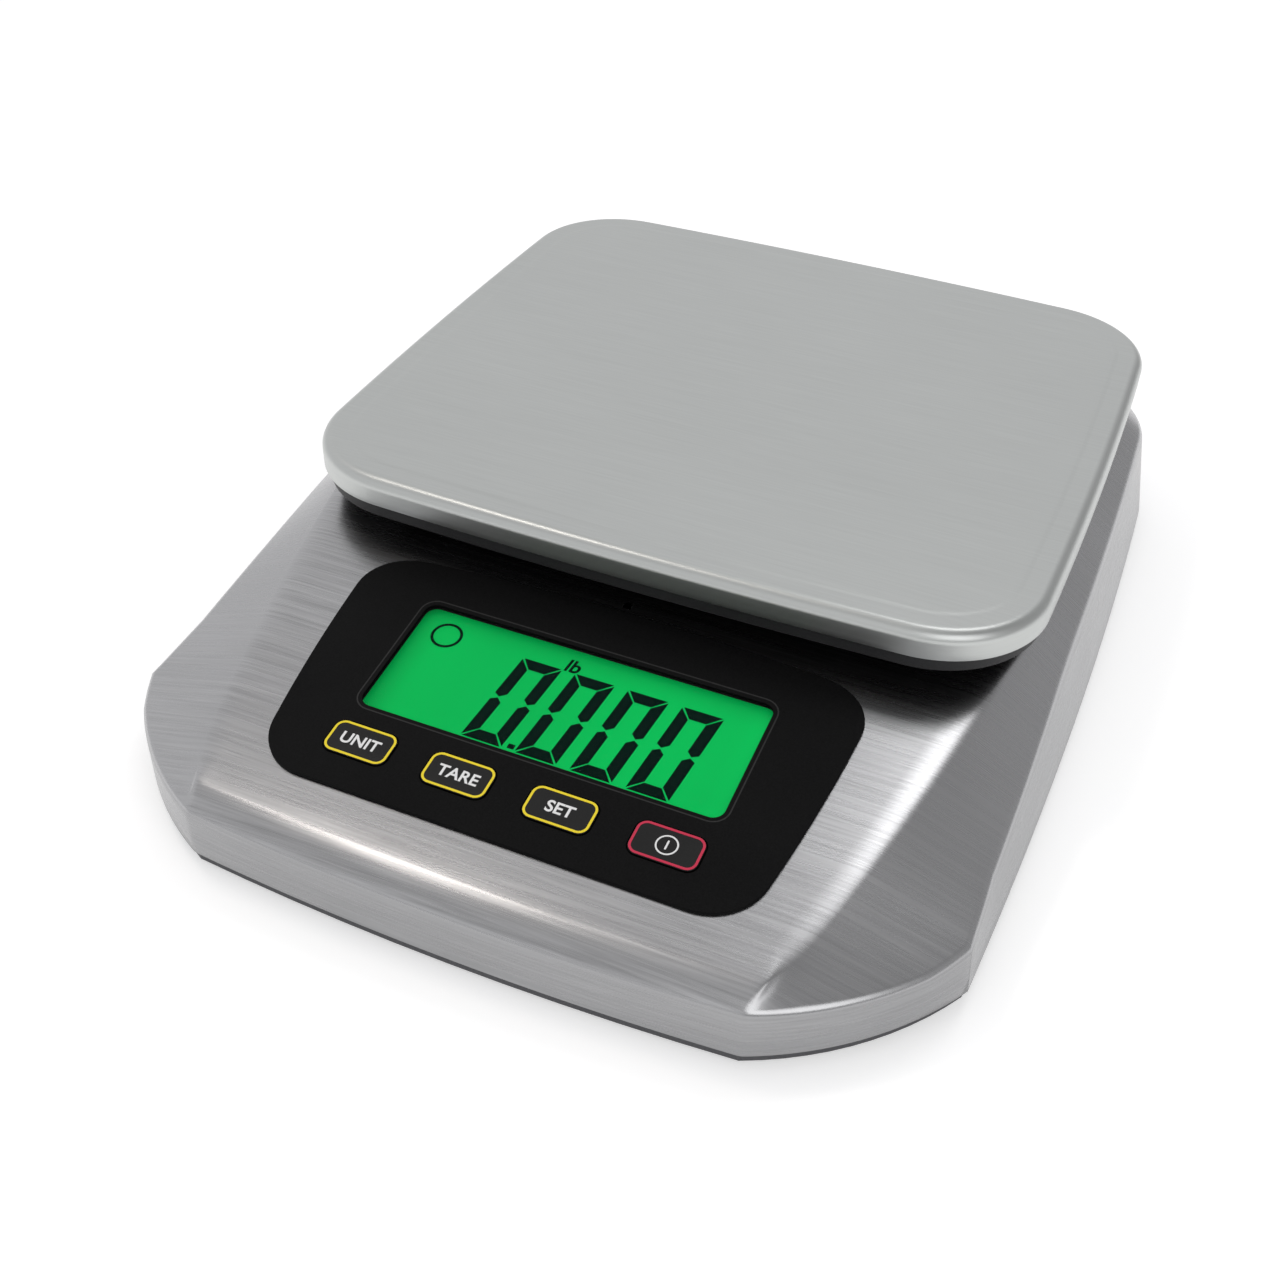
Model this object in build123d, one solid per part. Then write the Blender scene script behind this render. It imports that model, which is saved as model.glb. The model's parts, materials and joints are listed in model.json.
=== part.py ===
from build123d import *
import math
import os

os.makedirs("parts", exist_ok=True)

# ---------------------------------------------------------------- driving sizes (mm)
# Frame: origin at the middle of the footprint on the table, +Z up, the operator stands at -Y.
GAP = 0.3  # clearance between pieces that move past each other
SEAT = 0.05  # clearance of a pin, spigot or screw in its hole

# feet and base tray
FOOT_RADIUS = 9.0
FOOT_HEIGHT = 2.5
FOOT_BEVEL = 0.6
FOOT_SPIGOT_RADIUS = 3.5
FOOT_INSET_X = 27.0
FOOT_INSET_Y = 34.0
TRAY_PLATE = 3.5
TRAY_INSET = 1.2
TRAY_WALL = 2.0
TRAY_WALL_HEIGHT = 9.0
TRAY_WALL_INSET = 4.5

# pressed steel housing
SHEET = 1.2
HALF_WIDTH = 127.0
HALF_DEPTH = 161.7
RIM_HEIGHT = 14.9
RIM_RISE = 0.137  # climb of the side rim per unit of depth
RIM_TALL = 29.5
WALL_DRAFT = 0.187  # lean of the side walls per unit of height
FRONT_BOW = 3.4
CHAMFER_X = 44.6
CHAMFER_Y = 41.8
CHAMFER_BOW = 4.8
SIDE_TAPER = 4.4  # how far the sides close in by the cut corners
SIDE_BOW = 4.0
BACK_CORNER_RADIUS = 45.0
BACK_BOW = 1.6
FACET_WIDTH = 12.0
CREASE_MID_INSET = 35.3
CREASE_MID_SETBACK = 54.7
CREASE_BACK_INSET = 20.0
CREASE_BACK_SETBACK = 135.1

# sloping display deck
RIDGE_SETBACK = 11.4
APRON_RISE = 4.5
SLOPE_LENGTH = 126.1
DISPLAY_SETBACK = 58.8
DECK_CLEARANCE = 2.8  # free height between the live screws and the deck

# weighing platform
PAN_SIDE_GAP = 12.0
PAN_FRONT_GAP = 106.3
PAN_BACK_GAP = 6.9
PAN_BOW_X = 2.4
PAN_BOW_Y = 3.1
PAN_CORNER = 33.7
PAN_SHEET = 0.9
PAN_SKIRT = 9.0
PAN_EDGE = 4.0
PLATFORM_GAP = 4.5  # air between the deck and the platform support
SUPPORT_CLEARANCE = 0.6
SUPPORT_DROP = 4.5
SUPPORT_PLATE = 2.5
SUPPORT_RIB = 2.0
SUPPORT_BOSS_WALL = 2.0
BOSS_LIFT = 1.5
PAD_HEIGHT = 1.0
PAD_RADIUS = 8.0
PAD_GAP = 0.1
PAD_INSET = 31.0

# load cell and its brackets
CELL_LENGTH = 130.0
CELL_WIDTH = 30.0
CELL_HEIGHT = 22.0
CELL_BORE_RADIUS = 7.5
CELL_BORE_X = 13.0
CELL_SLOT = 5.0
CELL_END = 30.0
CELL_SCREW_PITCH = 15.0
CELL_SCREW_RADIUS = 3.0
CELL_SCREW_HEAD_RADIUS = 5.5
CELL_HOLE_DEPTH = 12.0
HEX_RADIUS = 2.5
HEX_DEPTH = 1.4
CELL_BASE_PLATE = 4.0
CELL_BASE_LENGTH = 50.0
CELL_BASE_WIDTH = 30.0
CELL_SPACER = 3.0
BRACKET_LENGTH = 150.0
BRACKET_WIDTH = 64.0
BRACKET_PLATE = 3.0
BRACKET_CORNER = 6.0
POST_X = 60.0
POST_Y = 24.0
POST_RADIUS = 5.0
POST_HOLE_RADIUS = 8.0
POST_SPIGOT_RADIUS = 3.0
STOP_X = 68.0
STOP_Y = 26.0
STOP_RADIUS = 3.0
STOP_NUT_RADIUS = 6.0
STOP_NUT_HEIGHT = 5.0
STOP_GAP = 0.8

# display stack, measured from the deck surface downwards
OVERLAY_THICK = 1.0
OVERLAY_CROWN = 17.3  # overlay beyond the window, at the middle of its top edge
OVERLAY_TOP_MARGIN = (24.7, 13.0)
OVERLAY_BOTTOM_MARGIN = 15.9
OVERLAY_KEY_MARGIN = 15.3
OVERLAY_SIDE_BULGE = 1.7
OVERLAY_CORNER = 13.0
WINDOW_WIDTH = 106.6
WINDOW_HEIGHT = 41.2
WINDOW_CORNER = 3.4
LENS_THICK = 1.0
LENS_BORDER = 2.6
CUTOUT_MARGIN = 0.3
GLASS_MARGIN_X = 3.2
GLASS_MARGIN_Y = 2.8
GLASS_THICK = 2.8
BACKLIGHT_THICK = 3.2
BACKLIGHT_INSET_X = 2.0
BACKLIGHT_INSET_Y = 4.0
FRAME_WALL = 2.0
FRAME_LIP = 0.6
FRAME_CORNER = 1.5
BOARD_THICK = 1.6
BOARD_MARGIN = 9.5
BOARD_BOTTOM = -24.5
BOARD_TOP = 38.0
BOARD_DROP = 1.8
BOARD_HOLE_RADIUS = 1.6
BOARD_HOLE_INSET = 4.0
PILLAR_RADIUS = 2.6
PILLAR_BORE_RADIUS = 1.1
ZEBRA_INSET = 8.5
ZEBRA_WIDTH = 1.4

# keys
KEY_WIDTH = 19.0
KEY_HEIGHT = 10.9
KEY_CORNER = 3.0
KEY_PITCH = 29.6
KEY_CENTRE_X = -0.6
KEY_DROP = 12.4  # key row below the window
KEY_PROUD = 0.4
KEY_THICK = 0.6
KEY_STEM_RADIUS = 2.0
KEY_STEM_HOLE_RADIUS = 3.0
KEY_NAMES = ("key_unit", "key_tare", "key_set", "key_power")
SWITCH_SIZE = 6.0
SWITCH_HEIGHT = 3.0
SWITCH_DROP = 2.0
SWITCH_GAP = 0.9
KEY_BOARD_MARGIN = 11.6
KEY_BOARD_HEIGHT = 14.0
KEY_BOARD_SHIFT = -1.5
KEY_PILLAR_INSET = 3.0

# battery compartment
CELL_C_RADIUS = 13.1
CELL_C_LENGTH = 49.0
CELL_C_NIPPLE_RADIUS = 3.5
CELL_C_NIPPLE = 1.2
CELL_C_COUNT = 4
CELL_C_GAP = 0.8
CELL_C_LIFT = 0.6
BATTERY_CONTACT = 0.5
CONTACT_WIDTH = 16.0
CONTACT_HEIGHT = 18.0
BATTERY_SPRING = 4.0
SPRING_RADII = (6.0, 4.0)
BATTERY_WALL = 2.0
BATTERY_FLANGE = 3.0
BATTERY_FLANGE_THICK = 1.5
BATTERY_SETBACK = 10.2
DOOR_THICK = 2.0
DOOR_MARGIN = 1.5
DOOR_RIB = 1.2
DOOR_RIB_HEIGHT = 1.0
DOOR_RIB_INSET = 6.0
GRIP_ROWS = (8.0, 11.0, 14.0)
GRIP_LENGTH = 18.0
GRIP_WIDTH = 1.2
GRIP_DEPTH = 0.6

# fasteners and lead
SCREW_RADIUS = 2.0
SCREW_HEAD_RADIUS = 4.0
SCREW_HEAD = 2.0
SCREW_REACH = 12.0
SCREW_TIP_ROOM = 2.0
SHELL_POST_RADIUS = 4.5
SHELL_POST_INSET = 31.0
SHELL_POST_FRONT = 12.2
SHELL_POST_BACK = 61.7
CABLE_RADIUS = 1.8
CABLE_BEND = 8.0
CABLE_REACH = 12.0

# ---------------------------------------------------------------- places worked out from them
TRAY_BOTTOM = FOOT_HEIGHT
RIM_BOTTOM = TRAY_BOTTOM + TRAY_PLATE
RIM_FRONT_TOP = RIM_BOTTOM + RIM_HEIGHT
RIM_BACK_TOP = RIM_BOTTOM + RIM_TALL
CELL_BOTTOM = RIM_BOTTOM + CELL_BASE_PLATE
CELL_TOP = CELL_BOTTOM + CELL_HEIGHT
BRACKET_BOTTOM = CELL_TOP + CELL_SPACER
BRACKET_TOP = BRACKET_BOTTOM + BRACKET_PLATE
DECK_UNDER = BRACKET_TOP + SCREW_HEAD + DECK_CLEARANCE
DECK_LEVEL = DECK_UNDER + SHEET
SUPPORT_BOTTOM = DECK_LEVEL + PLATFORM_GAP
PAN_BOTTOM = SUPPORT_BOTTOM + SUPPORT_DROP
PAN_TOP = PAN_BOTTOM + PAN_SKIRT
SUPPORT_TOP = PAN_TOP - PAN_SHEET - PAD_GAP - PAD_HEIGHT

FRONT_Y = -HALF_DEPTH
RIDGE_Y = FRONT_Y + RIDGE_SETBACK
LEVEL_Y = RIDGE_Y + SLOPE_LENGTH
RIDGE_Z = RIM_FRONT_TOP + APRON_RISE
SLOPE = (DECK_LEVEL - RIDGE_Z) / SLOPE_LENGTH
DECK_TILT = math.atan(SLOPE)
DISPLAY_Y = RIDGE_Y + DISPLAY_SETBACK
DISPLAY_Z = RIDGE_Z + DISPLAY_SETBACK * SLOPE
FRONT_CORNER_X = HALF_WIDTH - SIDE_TAPER - CHAMFER_X
CORNER_Y = FRONT_Y + FRONT_BOW
CHAMFER_END = (FRONT_CORNER_X + CHAMFER_X, CORNER_Y + CHAMFER_Y)
CREASE_MID = (HALF_WIDTH - CREASE_MID_INSET, FRONT_Y + CREASE_MID_SETBACK)
CREASE_BACK = (HALF_WIDTH - CREASE_BACK_INSET, FRONT_Y + CREASE_BACK_SETBACK)
PAN_HALF_WIDTH = HALF_WIDTH - PAN_SIDE_GAP
PAN_HALF_DEPTH = HALF_DEPTH - (PAN_FRONT_GAP + PAN_BACK_GAP) / 2
PAN_Y = HALF_DEPTH - PAN_BACK_GAP - PAN_HALF_DEPTH
PAD_X = PAN_HALF_WIDTH - PAD_INSET
PAD_Y = PAN_HALF_DEPTH - PAD_INSET
CELL_FIXED_X = -CELL_LENGTH / 2 + CELL_END / 2
CELL_LIVE_X = CELL_LENGTH / 2 - CELL_END / 2
SHELL_POST_X = HALF_WIDTH - SHELL_POST_INSET
SHELL_POST_Y = (LEVEL_Y + SHELL_POST_FRONT, HALF_DEPTH - SHELL_POST_BACK)

LENS_WIDTH = WINDOW_WIDTH + 2 * LENS_BORDER
LENS_HEIGHT = WINDOW_HEIGHT + 2 * LENS_BORDER
GLASS_WIDTH = WINDOW_WIDTH + 2 * GLASS_MARGIN_X
GLASS_HEIGHT = WINDOW_HEIGHT + 2 * GLASS_MARGIN_Y
GLASS_TOP = -SHEET - FRAME_LIP
GLASS_BOTTOM = GLASS_TOP - GLASS_THICK
BACKLIGHT_BOTTOM = GLASS_BOTTOM - BACKLIGHT_THICK
BOARD_SURFACE = BACKLIGHT_BOTTOM - BOARD_DROP
BOARD_WIDTH = GLASS_WIDTH + 2 * BOARD_MARGIN
ZEBRA_LENGTH = GLASS_WIDTH - 2 * ZEBRA_INSET
KEY_ROW = -WINDOW_HEIGHT / 2 - KEY_DROP
KEY_UNDER = OVERLAY_THICK + KEY_PROUD - KEY_THICK
SWITCH_TOP = -SHEET - SWITCH_DROP
STEM_END = SWITCH_TOP + SWITCH_GAP
KEY_BOARD_SURFACE = SWITCH_TOP - SWITCH_HEIGHT
KEY_BOARD_WIDTH = (len(KEY_NAMES) - 1) * KEY_PITCH + 2 * KEY_BOARD_MARGIN
BATTERY_Y = LEVEL_Y + BATTERY_SETBACK
BATTERY_INNER_X = CELL_C_COUNT * (2 * CELL_C_RADIUS + CELL_C_GAP) + CELL_C_GAP
BATTERY_INNER_Y = CELL_C_LENGTH + CELL_C_NIPPLE + 2 * BATTERY_CONTACT + BATTERY_SPRING
CELL_C_AXIS_Z = RIM_BOTTOM + CELL_C_RADIUS + CELL_C_LIFT
BATTERY_TOP = CELL_C_AXIS_Z + CELL_C_RADIUS + CELL_C_GAP

DISPLAY = Plane(
    origin=(0, DISPLAY_Y, DISPLAY_Z),
    x_dir=(1, 0, 0),
    z_dir=(0, -math.sin(DECK_TILT), math.cos(DECK_TILT)),
)


def save(shape, name):
    """Write one named piece as a STEP file."""
    shape.label = name
    export_step(shape, f"parts/{name}.step")


def group(solids):
    """Several separate solids kept in one node."""
    return Compound(children=list(solids))


def drum(x, y, low, high, radius):
    """An upright cylinder between two heights."""
    return Pos(x, y, (low + high) / 2) * Cylinder(radius, high - low)


def block(x, y, low, high, width, depth):
    """An upright box between two heights."""
    return Pos(x, y, (low + high) / 2) * Box(width, depth, high - low)


def on_deck(shape, x=0.0, along=0.0, low=0.0):
    """Place a shape on the display deck: x, distance up the slope, height above the sheet."""
    return DISPLAY.location * Pos(x, along, low) * shape


def deck_slab(width, height, low, high, x=0.0, along=0.0, corner=0.0):
    """A slab parallel to the display deck."""
    outline = RectangleRounded(width, height, corner) if corner else Rectangle(width, height)
    return on_deck(extrude(outline, high - low), x, along, low)


def corners(x, y):
    """The four points at plus and minus x and y."""
    return [(sx * x, sy * y) for sx in (-1, 1) for sy in (-1, 1)]


# ---------------------------------------------------------------- housing outline
def footprint_edges(inset=0.0):
    """Right-hand edges of the housing footprint, from the front corner to the back middle."""
    front = (FRONT_CORNER_X - inset / 2, CORNER_Y + inset)
    end = (CHAMFER_END[0] - inset, CHAMFER_END[1] + inset / 2)
    run = math.hypot(CHAMFER_X, CHAMFER_Y)
    out = (CHAMFER_Y / run, -CHAMFER_X / run)
    bulge = ((front[0] + end[0]) / 2 + out[0] * CHAMFER_BOW, (front[1] + end[1]) / 2 + out[1] * CHAMFER_BOW)
    round_y = HALF_DEPTH - BACK_CORNER_RADIUS
    round_x = HALF_WIDTH - BACK_BOW - BACK_CORNER_RADIUS
    radius = BACK_CORNER_RADIUS - inset
    side_end = (round_x + radius, round_y)
    diagonal = radius * math.sqrt(0.5)
    back_start = (round_x, round_y + radius - BACK_BOW)
    return [
        ThreePointArc(front, bulge, end),
        ThreePointArc(end, (HALF_WIDTH - inset, (end[1] + round_y) / 2 + SIDE_BOW), side_end),
        ThreePointArc(side_end, (round_x + diagonal, round_y + diagonal - BACK_BOW / 2), back_start),
        ThreePointArc(back_start, (round_x / 2, HALF_DEPTH - inset - BACK_BOW / 4), (0, HALF_DEPTH - inset)),
    ]


def footprint(inset=0.0):
    """The whole footprint as a face, moved in by the inset."""
    right = footprint_edges(inset)
    left = [edge.mirror(Plane.YZ) for edge in right]
    start = right[0] @ 0
    front = ThreePointArc((-start.X, start.Y), (0, FRONT_Y + inset), (start.X, start.Y))
    return make_face([front, *right, *left])


def rim_top(y):
    """Height of the fold between the rim and the facets: low at the front, rising to the back."""
    return min(RIM_FRONT_TOP + RIM_RISE * max(0.0, y - CHAMFER_END[1]), RIM_BACK_TOP)


def deck_height(y):
    """Height of the deck's outer surface: rounded apron, slope, then level under the platform."""
    if y >= LEVEL_Y:
        return DECK_LEVEL
    if y >= RIDGE_Y:
        return RIDGE_Z + (y - RIDGE_Y) * SLOPE
    centre_y, centre_z, radius = apron_circle()
    return centre_z + math.sqrt(radius**2 - (y - centre_y) ** 2)


def apron_circle():
    """Circle that leaves the slope smoothly at the ridge and meets the top of the front rim."""
    run = FRONT_Y - RIDGE_Y
    drop = RIM_FRONT_TOP - RIDGE_Z
    radius = (run**2 + drop**2) / (2 * (run * math.sin(DECK_TILT) - drop * math.cos(DECK_TILT)))
    return RIDGE_Y + radius * math.sin(DECK_TILT), RIDGE_Z - radius * math.cos(DECK_TILT), radius


def stations(inset=0.0):
    """Rim and crease points in pairs, from the front corner to the back middle."""
    chamfer, side, corner, back = footprint_edges()
    crease = ThreePointArc((FRONT_CORNER_X, CORNER_Y), CREASE_MID, CREASE_BACK)
    shift = Vector(-inset / 2, inset)
    pairs = [(chamfer @ 0.012 + shift, crease @ 0.0 + shift)]
    for step in (0.2, 0.4, 0.6, 0.8, 1.0):
        pairs.append((chamfer @ step, crease @ (0.31 * step)))
    for step in (0.12, 0.24, 0.36):
        pairs.append((side @ step, crease @ (0.31 + 0.69 * step / 0.36)))
    for edge, steps in ((side, (0.6, 0.8, 1.0)), (corner, (0.2, 0.4, 0.6, 0.8, 1.0)), (back, (0.5, 1.0))):
        for step in steps:
            rim = edge @ step
            along = edge % step
            inward = Vector(-along.Y, along.X)
            pairs.append((rim, rim + inward * (FACET_WIDTH + WALL_DRAFT * RIM_TALL)))
    pairs[-1] = (pairs[-1][0], Vector(0, pairs[-1][1].Y))
    return pairs


def strip_sections(inset, floor):
    """Upright outlines through the facet, from the front corner to the back middle."""
    pairs = stations(inset)
    rims = [pair[0] for pair in pairs]
    sections = []
    for index, (rim, crease) in enumerate(pairs):
        along = rims[min(index + 1, len(rims) - 1)] - rims[max(index - 1, 0)]
        inward = Vector(-along.Y, along.X).normalized()
        draft = WALL_DRAFT if rim.Y > CHAMFER_END[1] else 0.0
        top = rim_top(rim.Y) - inset
        foot = rim + inward * inset
        fold = rim + inward * (inset + draft * (top - RIM_BOTTOM))
        high = deck_height(crease.Y) - inset
        if index == 0:
            foot, fold = rim, rim
        outline = [(foot.X, foot.Y, floor), (fold.X, fold.Y, top)]
        outline += [(crease.X, crease.Y, high), (crease.X, crease.Y, floor)]
        sections.append(outline)
    return sections


def flat(a, b, c):
    """One triangular face."""
    return Face(Wire.make_polygon([a, b, c], close=True))


def strip(inset, floor):
    """Right-hand side of the housing, outside the crease, as a closed solid of flat facets."""
    sections = strip_sections(inset, floor)
    faces = []
    for end in (sections[0], sections[-1]):
        faces += [flat(end[0], end[1], end[2]), flat(end[0], end[2], end[3])]
    for first, second in zip(sections, sections[1:]):
        for here in range(4):
            there = (here + 1) % 4
            faces.append(flat(first[here], first[there], second[there]))
            faces.append(flat(first[here], second[there], second[here]))
    return Solid(Shell(faces))


def deck_block(inset, floor):
    """Housing inside the creases: apron, slope and level deck over a flat floor."""
    crease = [(pair[1].X, pair[1].Y) for pair in stations(inset)]
    front = ThreePointArc((-crease[0][0], crease[0][1]), (0, FRONT_Y + inset), crease[0])
    right = Polyline(*crease)
    plan = make_face([front, right, right.mirror(Plane.YZ)])
    prism = Pos(0, 0, floor) * extrude(plan, DECK_LEVEL + 1)
    centre_y, centre_z, radius = apron_circle()
    nose = FRONT_Y - 1
    nose_z = centre_z + math.sqrt(radius**2 - (nose - centre_y) ** 2)
    middle = (nose + RIDGE_Y) / 2
    middle_z = centre_z + math.sqrt(radius**2 - (middle - centre_y) ** 2)
    apron = ThreePointArc((nose, nose_z), (middle, middle_z), (RIDGE_Y, RIDGE_Z))
    back = HALF_DEPTH + 1
    rest = Polyline(
        (RIDGE_Y, RIDGE_Z),
        (LEVEL_Y, DECK_LEVEL),
        (back, DECK_LEVEL),
        (back, floor - 1),
        (nose, floor - 1),
        (nose, nose_z),
    )
    profile = Plane.YZ * make_face([apron, rest])
    top = Pos(0, 0, -inset) * extrude(profile, HALF_WIDTH, both=True)
    return prism & top


def housing(inset, floor):
    """The pressed housing as a closed block, its top lowered and its sides moved in by the inset."""
    right = strip(inset, floor)
    return deck_block(inset, floor) + right + right.mirror(Plane.YZ)


# ---------------------------------------------------------------- casing
def make_housing_shell():
    shell = housing(0.0, RIM_BOTTOM) - housing(SHEET, RIM_BOTTOM - 1)
    shell -= deck_slab(
        LENS_WIDTH + 2 * CUTOUT_MARGIN,
        LENS_HEIGHT + 2 * CUTOUT_MARGIN,
        -2 * SHEET - 2,
        1.0,
        corner=WINDOW_CORNER,
    )
    for x in key_centres():
        shell -= on_deck(Cylinder(KEY_STEM_HOLE_RADIUS, 8 * SHEET), x, KEY_ROW)
    for x, y in corners(POST_X, POST_Y):
        shell -= drum(x, PAN_Y + y, DECK_UNDER - 1, DECK_LEVEL + 1, POST_HOLE_RADIUS)
    return shell


def make_base_tray():
    plate = Pos(0, 0, TRAY_BOTTOM) * extrude(footprint(TRAY_INSET), TRAY_PLATE)
    outer = footprint(TRAY_WALL_INSET)
    inner = footprint(TRAY_WALL_INSET + TRAY_WALL)
    wall = Pos(0, 0, RIM_BOTTOM) * extrude(outer - inner, TRAY_WALL_HEIGHT)
    tray = plate + wall
    tray -= block(0, BATTERY_Y, TRAY_BOTTOM - 1, RIM_BOTTOM + 1, *door_opening())
    for x, y in foot_centres():
        tray -= drum(x, y, TRAY_BOTTOM - 1, RIM_BOTTOM + 1, FOOT_SPIGOT_RADIUS + SEAT)
    for x, y in shell_post_centres():
        tray -= screw_space(x, y)
    for x, y in cell_base_screws():
        tray -= drum(x, y, TRAY_BOTTOM - 1, RIM_BOTTOM + 1, CELL_SCREW_RADIUS + SEAT)
        tray -= drum(x, y, TRAY_BOTTOM - 1, TRAY_BOTTOM + SCREW_HEAD, CELL_SCREW_HEAD_RADIUS + GAP)
    return tray


def screw_space(x, y):
    """Clearance hole and head recess for a base screw."""
    hole = drum(x, y, TRAY_BOTTOM - 1, RIM_BOTTOM + 1, SCREW_RADIUS + SEAT)
    return hole + drum(x, y, TRAY_BOTTOM - 1, TRAY_BOTTOM + SCREW_HEAD, SCREW_HEAD_RADIUS + GAP)


def foot_centres():
    return corners(HALF_WIDTH - FOOT_INSET_X, HALF_DEPTH - FOOT_INSET_Y)


def shell_post_centres():
    return [(side * SHELL_POST_X, y) for y in SHELL_POST_Y for side in (-1, 1)]


def cell_base_screws():
    half = CELL_SCREW_PITCH / 2
    return [(CELL_FIXED_X + side * half, PAN_Y) for side in (-1, 1)]


def cell_live_screws():
    half = CELL_SCREW_PITCH / 2
    return [(CELL_LIVE_X + side * half, PAN_Y) for side in (-1, 1)]


def make_feet():
    feet = []
    for x, y in foot_centres():
        pad = drum(x, y, 0, FOOT_HEIGHT, FOOT_RADIUS)
        pad = chamfer(pad.edges().group_by(Axis.Z)[0], FOOT_BEVEL)
        feet.append(pad + drum(x, y, FOOT_HEIGHT, RIM_BOTTOM, FOOT_SPIGOT_RADIUS))
    return group(feet)


def make_shell_posts():
    posts = []
    for x, y in shell_post_centres():
        post = drum(x, y, RIM_BOTTOM, DECK_UNDER, SHELL_POST_RADIUS)
        bore_top = RIM_BOTTOM + SCREW_REACH + SCREW_TIP_ROOM
        posts.append(post - drum(x, y, RIM_BOTTOM - 1, bore_top, SCREW_RADIUS + SEAT))
    return group(posts)


def make_base_screws():
    screws = []
    for x, y in shell_post_centres():
        head = drum(x, y, TRAY_BOTTOM, TRAY_BOTTOM + SCREW_HEAD, SCREW_HEAD_RADIUS)
        head -= cross_slot(x, y, TRAY_BOTTOM)
        screws.append(head + drum(x, y, TRAY_BOTTOM + SCREW_HEAD, RIM_BOTTOM + SCREW_REACH, SCREW_RADIUS))
    return group(screws)


def cross_slot(x, y, level, size=4.4, width=0.9, depth=1.2):
    """Cross recess in the face of a screw head."""
    first = block(x, y, level - depth, level + depth, size, width)
    return first + block(x, y, level - depth, level + depth, width, size)


# ---------------------------------------------------------------- weighing platform
def pan_outline(inset):
    """Platform outline with gently bowed sides and round corners."""
    half_x = PAN_HALF_WIDTH - inset
    half_y = PAN_HALF_DEPTH - inset
    side_x = half_x - PAN_BOW_X
    side_y = half_y - PAN_BOW_Y
    right = ThreePointArc((side_x, -side_y), (half_x, 0), (side_x, side_y))
    back = ThreePointArc((side_x, side_y), (0, half_y), (-side_x, side_y))
    left = ThreePointArc((-side_x, side_y), (-half_x, 0), (-side_x, -side_y))
    front = ThreePointArc((-side_x, -side_y), (0, -half_y), (side_x, -side_y))
    face = make_face([right, back, left, front])
    return fillet(face.vertices(), PAN_CORNER - inset)


def pan_block(inset, low, high):
    """Platform outline raised between two heights."""
    return Pos(0, PAN_Y, low) * extrude(pan_outline(inset), high - low)


def make_platform_pan():
    outer = pan_block(0, PAN_BOTTOM, PAN_TOP)
    outer = fillet(outer.edges().group_by(Axis.Z)[-1], PAN_EDGE)
    inner = pan_block(PAN_SHEET, PAN_BOTTOM - 1, PAN_TOP - PAN_SHEET)
    inner = fillet(inner.edges().group_by(Axis.Z)[-1], PAN_EDGE - PAN_SHEET)
    return outer - inner


def support_screw_centres():
    return [(x, PAN_Y + y) for x, y in corners(POST_X, POST_Y)]


def make_platform_support():
    inset = PAN_SHEET + SUPPORT_CLEARANCE
    body = pan_block(inset, SUPPORT_BOTTOM, SUPPORT_TOP)
    body = fillet(body.edges().group_by(Axis.Z)[-1], PAN_EDGE - PAN_SHEET)
    body -= pan_block(inset + SUPPORT_RIB, SUPPORT_BOTTOM - 1, SUPPORT_TOP - SUPPORT_PLATE)
    top = SUPPORT_TOP - SUPPORT_PLATE
    low = SUPPORT_BOTTOM + SUPPORT_RIB
    boss_low = SUPPORT_BOTTOM + BOSS_LIFT
    length = 2 * (PAN_HALF_WIDTH - inset) - SUPPORT_RIB
    depth = 2 * (PAN_HALF_DEPTH - inset) - SUPPORT_RIB
    for x, y in ((0, POST_Y), (0, -POST_Y), (0, PAD_Y), (0, -PAD_Y)):
        reach = length if abs(y) < PAD_Y else length - 2 * SUPPORT_RIB - PAN_BOW_X * 2
        body += block(x, PAN_Y + y, low, top, reach, SUPPORT_RIB)
    for x in (-PAD_X, -POST_X, 0, POST_X, PAD_X):
        reach = depth if abs(x) < PAD_X else depth - 2 * SUPPORT_RIB - PAN_BOW_Y * 2
        body += block(x, PAN_Y, low, top, SUPPORT_RIB, reach)
    for x, y in support_screw_centres():
        body += drum(x, y, boss_low, top, POST_RADIUS + SUPPORT_BOSS_WALL)
        body -= drum(x, y, SUPPORT_BOTTOM - 1, SUPPORT_TOP + 1, SCREW_RADIUS + SEAT)
        body -= drum(x, y, SUPPORT_TOP - SCREW_HEAD, SUPPORT_TOP + 1, SCREW_HEAD_RADIUS + GAP)
    return body


def make_support_pads():
    return group(
        drum(x, PAN_Y + y, SUPPORT_TOP, SUPPORT_TOP + PAD_HEIGHT, PAD_RADIUS)
        for x, y in corners(PAD_X, PAD_Y)
    )


def make_platform_screws():
    screws = []
    for x, y in support_screw_centres():
        head = drum(x, y, SUPPORT_TOP - SCREW_HEAD, SUPPORT_TOP, SCREW_HEAD_RADIUS)
        head -= cross_slot(x, y, SUPPORT_TOP)
        tip = BRACKET_TOP + SCREW_TIP_ROOM
        screws.append(head + drum(x, y, tip, SUPPORT_TOP - SCREW_HEAD, SCREW_RADIUS))
    return group(screws)


def make_support_posts():
    posts = []
    for x, y in support_screw_centres():
        post = drum(x, y, BRACKET_TOP, SUPPORT_BOTTOM + BOSS_LIFT, POST_RADIUS)
        post += drum(x, y, BRACKET_BOTTOM, BRACKET_TOP, POST_SPIGOT_RADIUS)
        posts.append(post - drum(x, y, BRACKET_TOP + 1, SUPPORT_BOTTOM + 2, SCREW_RADIUS + SEAT))
    return group(posts)


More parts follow.
